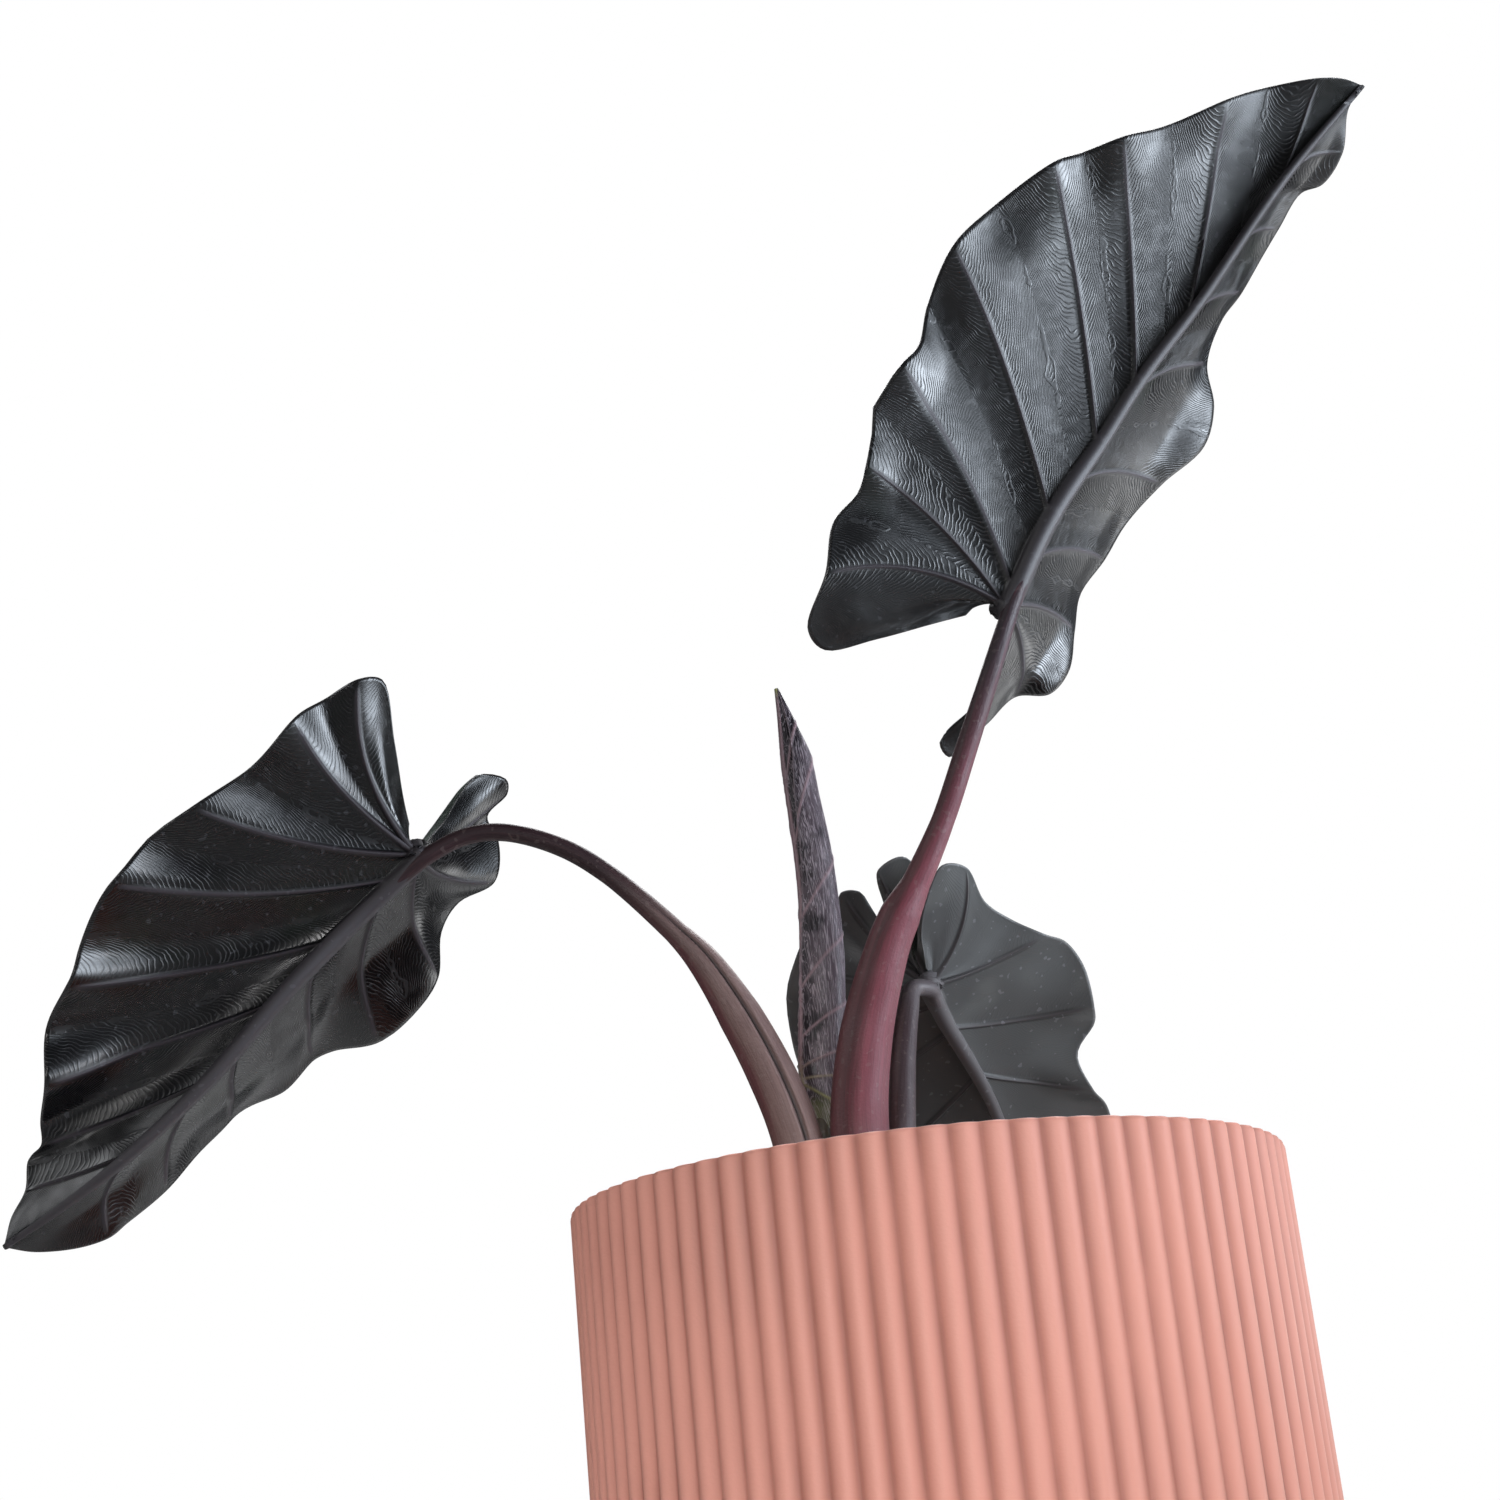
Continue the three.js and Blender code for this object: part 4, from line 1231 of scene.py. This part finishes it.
@dataclass(frozen=True)
class Stalk:
    """A leaf stalk from the crown to its blade, with the sheath's groove low down."""

    name: str
    node: str
    slot: str
    path: tuple[Place, ...]
    finish: Finish
    blade: Blade | None = None
    groove_angle: float = 0.0
    groove_drift: float = 0.0
    sheath_end: float = 0.0
    groove_depth: float = 0.42
    groove_width: float = 0.16
    groove_shade: float = 1.0
    lip: float = 0.06
    sides: int = 72
    rings: int = 220
    top_width: float = 4.6
    seat: Triple = (0.3, 0.9, 0.6)  # before the blade, the blade's wall there, and under its keel
    sheath_fade: float = 0.1
    unevenness: float = 0.02
    tail: tuple[Triple, ...] = (  # in the keel: the way along it, the depth under it, the width
        (3.0, 2.7, 4.4), (8.0, 2.35, 3.6), (14.0, 2.0, 2.6),
    )

    def _line(self) -> list[Place]:
        """Runs the stalk's path on inside its blade's keel.

        Returns:
            The points, each with the stalk's width as its fourth number.
        """
        if self.blade is None:
            return list(self.path)
        before, wall, gap = self.seat
        under = -(wall + self.blade.keel_depth[0]) / 2 - gap
        end = self.blade.placed(np.array([[-before, 0.0, under]]))[0]
        points: list[Place] = [*self.path, (*end, self.top_width)]
        midrib = Spline(self.blade.midrib)
        for way, depth, width in self.tail:
            inside = midrib.at_length(np.array([way])) + np.array([[0.0, 0.0, -depth]])
            points.append((*self.blade.placed(inside)[0], width))
        return points

    def build(self) -> Piece:
        """Lays a grid round the path.

        Returns:
            The piece.
        """
        points = self._line()
        line = Spline(points)
        shares = np.linspace(0, 1, self.rings)
        middle, front, right = ring_frames(line, shares)
        width = widths(points, shares)
        up = np.interp(shares, line.shares, line.lengths)
        angle = np.linspace(0, TURN, self.sides + 1)
        stalk_share = shares * (len(points) - 1) / (len(self.path) - (self.blade is None))
        groove_at = math.radians(self.groove_angle) + self.groove_drift * stalk_share
        turned = (angle[None] - groove_at[:, None] + math.pi) % TURN - math.pi
        closing = eased(self.sheath_end - self.sheath_fade, self.sheath_end, stalk_share)
        open_share = (1 - closing)[:, None]
        dip = np.exp(-((turned / self.groove_width) ** 2)) * open_share
        beside = (abs(turned) - 2.2 * self.groove_width) / self.groove_width
        lips = np.exp(-(beside ** 2)) * open_share
        circle = [(math.cos(a) * 1.5, math.sin(a) * 1.5) for a in angle]
        ripple = [[lumps((*spot, u * 0.05)) for spot in circle] for u in up]
        swell = 1 - self.groove_depth * dip + self.lip * lips + self.unevenness * np.array(ripple)
        radius = width[:, None] / 2 * swell
        x, y = radius * np.cos(angle), radius * np.sin(angle)
        places = middle[:, None] + front[:, None] * x[..., None] + right[:, None] * y[..., None]
        values = {
            "up": up[:, None] + 0 * x,
            "side_x": x,
            "side_y": y,
            "sideways": 2 * y / width[:, None],
            # the groove's mask, which the skin darkens as painted shade
            "groove": np.clip(self.groove_shade * dip, 0, 1),
        }
        return finished(laid_tube(places, values), self.name, self.node, self.slot, self.finish)


@dataclass(frozen=True)
class NewLeaf:
    """The new leaf, rolled round itself, with its free edge up one side."""

    path: tuple[Place, ...]
    depth: float = 0.78
    edge_angle: Pair = (250.0, 380.0)
    step: float = 0.16
    overlap: float = 1.22  # turns of the sheet
    midrib_angle: float = 298.0
    midrib_height: float = 0.5
    midrib_width: float = 1.9
    midrib_edge: Pair = (0.4, 0.55)  # of its width
    midrib_line: Pair = (0.6, 0.22)  # how dark the line along it is, and how wide
    vein_bend: float = 0.85
    vein_width: float = 0.33
    vein_height: float = 0.25
    rim_width: float = 0.35
    rim_wave: float = 0.12
    rim_foot: Pair = (6.0, 14.0)  # how far up the free edge sets in
    green_foot: Pair = (4.0, 22.0)  # how far up the green foot fades
    green_tip: float = 4.0  # the green tip's length
    veins: tuple[Pair, ...] = (  # where each leaves the midrib, and how steeply it rises
        (95, 4.2), (77, 3.2), (54.5, 1.9), (36.3, 1.45), (23.2, 0.95), (15.6, 0.6), (13.2, 0.05),
        (12.4, -0.8),
    )
    lines: int = 300
    columns: int = 120
    wall: float = 0.5
    finish: Finish = RolledSkin("rolled_leaf", gloss=0.4, sheen=Sheen(0.25, 0.35, (0.9, 0.92, 1.0)))

    def build(self) -> Piece:
        """Lays the rolled sheet from its free edge round and in under itself.

        Returns:
            The piece.
        """
        path = Spline(self.path)
        shares = np.linspace(0, 1, self.lines)
        middle, front, right = ring_frames(path, shares)
        half = widths(self.path, shares)[:, None] / 2
        up = np.interp(shares, path.shares, path.lengths)[:, None]
        turn = np.linspace(0, self.overlap, self.columns)[None]
        edge = np.radians(mixed(self.edge_angle, shares))[:, None]
        angle = edge + TURN * turn
        flat = np.hypot(self.depth * np.cos(angle), np.sin(angle))
        from_midrib = (angle - math.radians(self.midrib_angle) + math.pi) % TURN - math.pi
        around = from_midrib * half
        outside = turn < 1
        keel = (1 - eased(*self.midrib_edge, abs(around) / self.midrib_width)) * outside
        dark, line_width = self.midrib_line
        line = 1 - dark * np.exp(-((around / line_width) ** 2))
        bent = abs(around) ** self.vein_bend
        away = [abs(up - at - rise * bent) / math.hypot(1, rise) for at, rise in self.veins]
        nearest = np.min(away, axis=0)
        vein = np.exp(-((nearest / self.vein_width) ** 2)) * (1 - keel) * outside
        rim = np.exp(-((turn * TURN * half / self.rim_width) ** 2)) * eased(*self.rim_foot, up)
        radius = half * flat * (1 - self.step * turn)
        radius = radius + self.midrib_height * keel * np.minimum(1, half / 4)
        wave = np.sin(up * 2.1 + 2 * np.sin(up * 0.7))
        radius = radius + self.vein_height * vein + self.rim_wave * wave * rim
        x, y = radius * np.cos(angle), radius * np.sin(angle)
        places = middle[:, None] + front[:, None] * x[..., None] + right[:, None] * y[..., None]
        tip = eased(path.length - self.green_tip, path.length, up)
        ends = np.clip(1 - eased(*self.green_foot, up) + tip, 0, 1)
        values = {
            "up": up + 0 * x,
            "around": around,
            "keel": keel * line,
            "ends": ends + 0 * x,
            "vein": vein,
            "rim": rim + 0 * x,
        }
        mesh = laid_grid(places, values)
        close_seam(mesh, 0.01)
        self._give_wall(mesh, path.at(np.array([0.5]))[0])
        return finished(mesh, "rolled_new_leaf", "new_leaf", "new_leaf", self.finish)

    def _give_wall(self, mesh: Mesh, inside: np.ndarray) -> None:
        """Turns the sheet's faces outwards and gives it a wall inwards.

        Args:
            mesh: the rolled sheet.
            inside: a place inside the roll.
        """
        mesh.normal_update()
        outward = sum(
            (f.calc_center_median() - Vector(inside)).to_2d().dot(f.normal.to_2d())
            for f in mesh.faces
        )
        if outward < 0:
            bmesh.ops.reverse_faces(mesh, faces=mesh.faces[:])
        bmesh.ops.solidify(mesh, geom=mesh.faces[:], thickness=self.wall)
        bmesh.ops.recalc_face_normals(mesh, faces=mesh.faces[:])


# --------------------------------------------------------------------------- the plant

UNDER = VelvetLeaf(
    "leaf_underside", gloss=0.95, sheen=Sheen(0.02, 0.3, (0.95, 0.96, 1.0)),
    roughness=(0.26, 0.33), line_roughness=0.52, relief=0.0001,
)
LEFT_UNDER = VelvetLeaf(
    "left_leaf_underside", gloss=0.7, sheen=Sheen(0.02, 0.3, (0.95, 0.96, 1.0)), relief=0.00004,
)
# The back leaf's underside is the same near-black velvet, painted pale grey: a painted sheen, as of
# velvet seen at a slant; its dust specks and dark thin veins are its own.
BACK_UNDER_PAINTED_SHEEN = VelvetLeaf(
    "back_leaf_underside_painted_sheen", gloss=0.5, sheen=Sheen(0.05, 0.3), ground=(0.07, 0.072, 0.072),
    patch=(0.13, 0.135, 0.13), line=(0.05, 0.05, 0.05), painted_vein_shade=(0.025, 0.025, 0.025),
    rib=(0.05, 0.045, 0.047), ridge=(0.1, 0.092, 0.096), edge=(0.1, 0.1, 0.1),
    roughness=(0.4, 0.5), line_roughness=0.55, line_share=0.25, specks=0.35, relief=0.00009,
)
UPPER = VelvetLeaf(
    "leaf_upper_side", gloss=0.3, sheen=Sheen(0.5, 0.35, (0.75, 0.9, 0.8)), side=Side.UPPER,
    ground=(0.006, 0.011, 0.007), patch=(0.005, 0.018, 0.008), line=(0.012, 0.018, 0.012),
    rib=(0.045, 0.06, 0.04), ridge=(0.08, 0.07, 0.055), roughness=(0.5, 0.62),
    line_roughness=0.65, rib_roughness=0.55,
)

BLADE_RIGHT = Blade(
    name="right_blade",
    node="blade_right",
    at=(41, -14, 319),
    tip=(158, -52, 448),
    upper=(-0.5, 0.59, 0.63),
    midrib=((0, 0, 0), (28, -2, 4), (55, 0, 7), (76, 0, 8), (104, 1, 7), (145, -1, 4), (178, 0, 0)),
    margins=(
        (
            (-14, -10, 7), (-28, -20, 13), (-39, -30, 17), (-37, -37, 19), (-22, -42, 20, 0),
            (-9, -46, 25), (2, -45, 25), (9, -48, 25, 0), (17, -50, 28), (24, -53, 31),
            (37, -55, 28, 5), (45, -53, 28), (57, -55, 32), (72, -61, 30, 29), (88, -57, 32),
            (107, -53, 26, 54), (115, -47, 26), (124, -43, 20, 75), (135, -34, 19),
            (151, -26, 12, 101), (163, -17, 10), (172, -10, 5, 146), (176, -5, 2),
        ),
        (
            (-9, 13, 5), (-18, 21, 8), (-28, 24, 12), (-39, 22.5, 16.5), (-41, 27, 14.5),
            (-27, 31, 14), (-14, 38, 18, 0), (-8, 43, 12), (1, 45, 13), (13, 44, 20, 0),
            (24, 43, 26),
            (37, 44, 27, 14), (50, 44, 28), (66, 45, 26, 39), (82, 47, 22), (94, 44, 25),
            (104, 37, 31, 70), (117, 33, 32), (125, 29, 27, 98), (143, 21, 20, 122), (153, 17, 16),
            (157, 17, 10), (165, 13, 6, 150), (173, 4, 4),
        ),
    ),
    finishes=(UPPER, UNDER),
    quilt=(0.1, 0.2),
    quilt_share=(0.5, 1.0),
    ruffle_turn=(0.75, 1.0),
    curls=(((13.0, 1.3, 3.0), (20.7, 1.0, 2.0)), ()),
)

BLADE_LEFT = Blade(
    name="left_blade",
    node="blade_left",
    at=(-125, -19, 264),
    tip=(-229, -30, 169),
    upper=(-0.62, 0.45, 0.64),
    midrib=(
        (0, 0, 0), (22, -2, 2), (48, -2, 0), (80, -3, -4), (106, -2, -5), (125, -1, -3),
        (141, 0, 0),
    ),
    margins=(
        (
            (-7, 11, 6), (-16, 23, 12), (-25, 36, 19), (-20, 41, 20, 0), (-10, 41, 23),
            (0, 45, 22, 0), (18, 42, 24), (34, 45, 22, 0), (50, 45, 25), (62, 45, 22, 9),
            (79, 37, 20), (87, 34, 17, 33), (98, 27, 16), (107, 21, 10, 55), (115, 10, 14),
            (119, 6, 13, 81), (124, 4, 12), (129, 2, 8, 107), (136, 1, 4),
        ),
        (
            (-6, -3, 5), (-14, -7, 11), (-23, -10, 18), (-32, -14, 24), (-37, -20, 22),
            (-35, -25, 23, 0), (-27, -29, 26), (-24, -35, 21), (-15, -40, 16, 0), (-4, -41, 21),
            (6, -42, 18), (16, -45, 9, 0), (27, -46, 5), (41, -45, 6, 12), (51, -44, 12),
            (56, -43, 18, 38), (69, -42, 14), (83, -38, 17, 68), (94, -34, 12), (107, -28, 5, 83),
            (118, -21, -3), (124, -18, -4, 107), (131, -13, -4), (137, -7, -2),
        ),
    ),
    finishes=(UPPER, LEFT_UNDER),
    quilt=(0.8, 1.8),
    quilt_share=(0.06, 1.0),
    quilt_turn=(0.45, 0.95),
    curls=(
        ((6.7, 0.8, -3.5), (9.4, 0.7, -3.0), (11.3, 0.7, -3.0), (15.2, 1.0, -2.0)),
        ((14.8, 0.8, 3.0), (17.6, 0.6, 3.0)),
    ),
)

BLADE_BACK = Blade(
    name="back_blade",
    node="blade_back",
    at=(8, 28, 225),
    tip=(48, 128, 128),
    upper=(-0.12, 0.72, 0.69),
    midrib=(
        (0, 0, 0), (14, 0, 4), (28, -1, 7), (43, -2, 9), (55, -2, 10), (80, 0, 10), (110, 0, 7),
        (145, 0, 0),
    ),
    margins=(
        (
            (-8, 1, 6), (-17, -3, 12), (-27, -10, 14), (-33, -8, 14), (-32, 0, 14, 0), (-18, 3, 17),
            (-15, 7, 18), (-26, 7, 18), (-28, 12, 19, 0), (-21, 17, 20), (-20, 27, 17),
            (-14, 33, 18, 0), (-2, 40, 22), (11, 44, 20, 8), (24, 46, 23), (36, 46, 20, 20),
            (50, 43, 20), (62, 41, 15, 40), (77, 37, 16), (88, 32, 11, 62), (100, 27, 12),
            (110, 22, 7, 86), (126, 12, 5), (136, 6, 2, 118),
        ),
        (
            (-8, -2, 1), (-15, -4, 2), (-23, -9, 3), (-30, -17, 5), (-25, -23, 8, 0), (-12, -24, 9),
            (-2, -29, 11), (6, -36, 10, 0), (14, -41, 14), (24, -43, 14), (36, -41, 12, 19),
            (44, -39, 15), (50, -31, 13), (60, -31, 9, 40), (71, -33, 12), (86, -30, 9, 62),
            (98, -25, 10), (110, -20, 6, 86), (124, -12, 4), (136, -6, 2, 118),
        ),
    ),
    finishes=(UPPER, BACK_UNDER_PAINTED_SHEEN),
)

STALKS = (
    Stalk(
        name="left_stalk",
        node="petiole_left",
        slot="stalk_burgundy",
        blade=BLADE_LEFT,
        groove_angle=24.0,
        groove_depth=0.25,
        groove_width=0.09,
        lip=0.03,
        sheath_end=0.62,
        path=(
            (-28.5, -5, 149.3, 15), (-29, -4, 165, 13.6), (-31, -4, 181, 13),
            (-35.5, -5.5, 196.5, 12.6), (-42.5, -8, 213, 11.6), (-51, -10.5, 228.5, 8.6),
            (-57.5, -12, 236.5, 6.3), (-73.5, -15.5, 253, 5.2), (-86, -17.5, 262, 5.1),
            (-101, -19, 267.5, 4.9), (-112, -19.5, 267.3, 4.7),
        ),
        finish=StalkSkin(
            "left_stalk_skin", gloss=0.4, foot=(0.2, 0.13, 0.115), middle=(0.19, 0.12, 0.11),
            top=(0.026, 0.011, 0.014), streak=(0.07, 0.03, 0.032), left=(0.13, 0.045, 0.05),
            left_share=(-0.45, -0.8), turn=(15.0, 50.0, 75.0, 125.0),
        ),
    ),
    Stalk(
        name="right_stalk",
        node="petiole_right",
        slot="stalk_burgundy",
        blade=BLADE_RIGHT,
        groove_angle=322.0,
        groove_drift=0.4,
        groove_depth=0.12,
        groove_width=0.34,
        groove_shade=0.3,
        lip=0.0,
        sheath_end=0.6,
        path=(
            (-12, -5, 149.3, 15), (-13.5, -4, 165, 15.4), (-14.5, -4, 182, 15.2),
            (-10.5, -5, 204, 14), (-2.7, -7, 226, 11.9), (2.2, -8, 235.5, 11),
            (7.4, -9, 243.5, 7.7), (16.6, -11, 259.6, 6.2), (26.3, -13, 280.8, 6),
            (35, -15, 300, 5.4),
        ),
        finish=StalkSkin(
            "right_stalk_skin", gloss=0.4, foot=(0.14, 0.055, 0.06), middle=(0.17, 0.036, 0.052),
            top=(0.045, 0.032, 0.038), streak=(0.06, 0.02, 0.026), left=(0.11, 0.042, 0.046),
            left_share=(0.05, -0.5), turn=(10.0, 45.0, 100.0, 175.0),
        ),
    ),
    Stalk(
        name="back_stalk",
        node="petiole_back",
        slot="stalk_grey",
        blade=BLADE_BACK,
        groove_angle=180.0,
        sheath_end=0.4,
        path=(
            (-7, 12, 149.3, 8), (-6, 12, 165, 7.6), (-3.7, 12, 184, 7.2), (-1, 15, 204, 6.6),
            (1.5, 18, 216, 5.8), (3.5, 21, 222.5, 5),
        ),
        finish=StalkSkin(
            "back_stalk_skin", gloss=0.5, foot=(0.035, 0.02, 0.023), middle=(0.045, 0.025, 0.03),
            top=(0.1, 0.085, 0.09), streak=(0.03, 0.016, 0.02), turn=(10.0, 40.0, 60.0, 76.0),
        ),
    ),
    Stalk(
        name="new_leaf_stalk",
        node="new_stalk",
        slot="stalk_green",
        path=(
            (-24.5, 9, 149.3, 8), (-25, 8.5, 170, 7.4), (-24.6, 8, 190, 7), (-23.6, 7.5, 200, 7.6),
        ),
        finish=StalkSkin(
            "new_leaf_stalk_skin", gloss=0.4, foot=(0.05, 0.032, 0.02), middle=(0.06, 0.042, 0.022),
            top=(0.06, 0.045, 0.022), streak=(0.02, 0.01, 0.01), left=(0.25, 0.27, 0.07),
            left_share=(-0.35, -0.7), turn=(5.0, 20.0, 200.0, 220.0),
        ),
        rings=90,
    ),
)

NEW_LEAF = NewLeaf(
    path=(
        (-24.2, 7.8, 184, 7.4), (-24, 7.7, 188, 9), (-23.8, 7.6, 193, 11), (-23.5, 7.5, 200, 12.2),
        (-22.5, 7, 207, 12.9), (-21.4, 7, 217, 13.4), (-20.4, 7, 231, 13.8), (-19.8, 7, 248, 12.4),
        (-20.1, 6, 262, 11.7), (-21.2, 6, 277, 10.5), (-21.6, 6, 284, 10.1), (-22, 6, 290, 9.3),
        (-23, 6, 297, 6.4), (-23.9, 6, 303, 4.2), (-25.4, 6, 311, 1.2),
    ),
)


# -------------------------------------------------------------------------- the studio


@dataclass(frozen=True)
class SoftLight:
    """A large soft lamp that looks at a place."""

    name: str
    place: Triple
    size: Pair
    glow: float  # its radiance before a grid narrows it, where a white wall in full light is 1
    colour: Paint = (1.0, 1.0, 1.0)
    aim: Triple = (0.0, 0.0, 0.24)
    spread: float = 180.0  # degrees; a grid in front of the lamp makes it less

    def set_up(self) -> None:
        """Puts the lamp in the scene."""
        data = bpy.data.lights.new(self.name, "AREA")
        data.shape = "RECTANGLE"
        data.size, data.size_y = self.size
        data.energy = self.glow * math.pi * self.size[0] * self.size[1]
        data.spread = math.radians(self.spread)
        data.color = self.colour
        lamp = bpy.data.objects.new(self.name, data)
        lamp.location = self.place
        ahead = Vector(self.aim) - Vector(self.place)
        lamp.rotation_euler = ahead.to_track_quat("-Z", "Y").to_euler()
        bpy.context.scene.collection.objects.link(lamp)


COOL: Paint = (0.8, 0.89, 1.0)
CLEAR: Paint = (0.97, 0.98, 1.0)
LAMPS = (  # name, place, size, glow, colour, aim and spread
    SoftLight("right_high", (0.5, -0.1, 0.36), (0.5, 0.3), 1.0, COOL, (0.04, 0, 0.36), 60.0),
    SoftLight("right_middle", (0.5, -0.3, 0.25), (0.5, 0.24), 0.45, COOL, (0.04, 0, 0.36), 60.0),
    SoftLight("right_low", (0.55, -0.15, 0.2), (0.3, 0.24), 1.15, COOL, (0, 0, 0.35), 60.0),
    SoftLight(
        "pot_front", (0.1, -1.0, 0.3), (0.3, 0.2), 0.78, (1.0, 0.98, 0.99), (0, 0, 0.06), 20.0
    ),
    SoftLight(
        "front_left", (-0.35, -1.0, 0.2), (0.3, 0.2), 0.35, (1.0, 0.99, 0.98), (0, 0, 0.13), 30.0
    ),
    SoftLight(
        "pot_right", (0.9, -0.5, 0.1), (0.3, 0.2), 0.35, (1.0, 0.97, 1.0), (0.05, 0, 0.08), 25.0
    ),
    SoftLight(
        "left_high", (-0.85, -0.55, 0.8), (0.5, 0.5), 0.4, (0.95, 0.97, 1.0), (-0.1, 0, 0.2), 60.0
    ),
    SoftLight(
        "wall_right", (0.75, 0.5, 0.12), (1.1, 0.24), 1.3, (0.98, 0.99, 1.0), (0, 0, 0.24), 120.0
    ),
    SoftLight("floor_behind", (0.1, 0.45, 0.6), (0.3, 0.3), 0.9, CLEAR, (0.1, 0.25, 0), 90.0),
    SoftLight("back_top", (0.1, 0.8, 1.1), (0.9, 0.6), 4.5, CLEAR, (0, 0.3, 0.1), 120.0),
)


@dataclass(frozen=True)
class Studio:
    """The camera, the lamps, the white surround and a pale floor."""

    camera_place: Triple = (0.0, -0.488, 0.093)
    yaw: float = -4.0
    pitch: float = 22.0
    roll: float = -5.2
    lens: float = 45.0
    sensor: float = 36.0
    fill: float = 0.04
    fill_tint: Paint = (0.93, 0.96, 1.0)
    floor_radius: float = 1.3
    floor_sides: int = 96
    floor_drop: float = 0.0005  # under the pot's base
    floor_paint: Paint = (0.6, 0.6, 0.6)
    floor_roughness: float = 0.7
    lamps: tuple[SoftLight, ...] = LAMPS

    def set_up(self) -> None:
        """Builds the whole studio."""
        self._camera()
        for lamp in self.lamps:
            lamp.set_up()
        self._surround()
        self._floor()
        bpy.context.scene.view_settings.view_transform = "Standard"

    def _camera(self) -> None:
        """Sets the camera where the photograph was taken from."""
        yaw, pitch, roll = (math.radians(a) for a in (self.yaw, self.pitch, self.roll))
        out = math.cos(pitch)
        ahead = Vector((math.sin(yaw) * out, math.cos(yaw) * out, math.sin(pitch)))
        level = Vector((math.cos(yaw), -math.sin(yaw), 0.0))
        up = level.cross(ahead)
        right = level * math.cos(roll) + up * math.sin(roll)
        top = up * math.cos(roll) - level * math.sin(roll)
        data = bpy.data.cameras.new("photo_camera")
        data.lens, data.sensor_width = self.lens, self.sensor
        data.clip_start = 0.01
        camera = bpy.data.objects.new("photo_camera", data)
        turned = Matrix((right, top, -ahead)).transposed().to_4x4()
        camera.matrix_world = Matrix.Translation(self.camera_place) @ turned
        bpy.context.scene.collection.objects.link(camera)
        bpy.context.scene.camera = camera

    def _surround(self) -> None:
        """A white background that lights the object less than it shows."""
        world = bpy.data.worlds.new("white_surround")
        bpy.context.scene.world = world
        world.use_nodes = True
        world.node_tree.nodes.clear()
        bench = Bench(world.node_tree)
        lit = bench.add("Background", {"Color": (*self.fill_tint, 1.0), "Strength": self.fill})
        seen = bench.add("Background", {"Color": (1.0, 1.0, 1.0, 1.0), "Strength": 1.0})
        camera_ray = bench.add("LightPath", {}).outputs["Is Camera Ray"]
        shown = bench.add("MixShader", {0: camera_ray, 1: lit.outputs[0], 2: seen.outputs[0]})
        bench.add("OutputWorld", {"Surface": shown.outputs[0]})

    def _floor(self) -> None:
        """A plain pale floor under the pot."""
        mesh = bmesh.new()
        bmesh.ops.create_circle(
            mesh, cap_ends=True, segments=self.floor_sides, radius=self.floor_radius
        )
        data = bpy.data.meshes.new("floor")
        mesh.to_mesh(data)
        mesh.free()
        floor = bpy.data.objects.new("floor", data)
        floor.location.z = -self.floor_drop
        paint = bpy.data.materials.new("pale_floor")
        paint.use_nodes = True
        shader = paint.node_tree.nodes["Principled BSDF"]
        shader.inputs["Base Color"].default_value = (*self.floor_paint, 1.0)
        shader.inputs["Roughness"].default_value = self.floor_roughness
        data.materials.append(paint)
        bpy.context.scene.collection.objects.link(floor)


def main() -> None:
    """Builds the studio, then the pots, the soil and the plant."""
    logging.basicConfig(level=logging.INFO, format="%(name)s: %(message)s")
    Studio().set_up()
    for holder in (CoverPot(), GrowPot(), SoilBed(), Crown()):
        holder.build()
    for stalk in STALKS:
        stalk.build()
    NEW_LEAF.build()
    for blade in (BLADE_RIGHT, BLADE_LEFT, BLADE_BACK):
        blade.build()


if __name__ == "__main__":
    main()
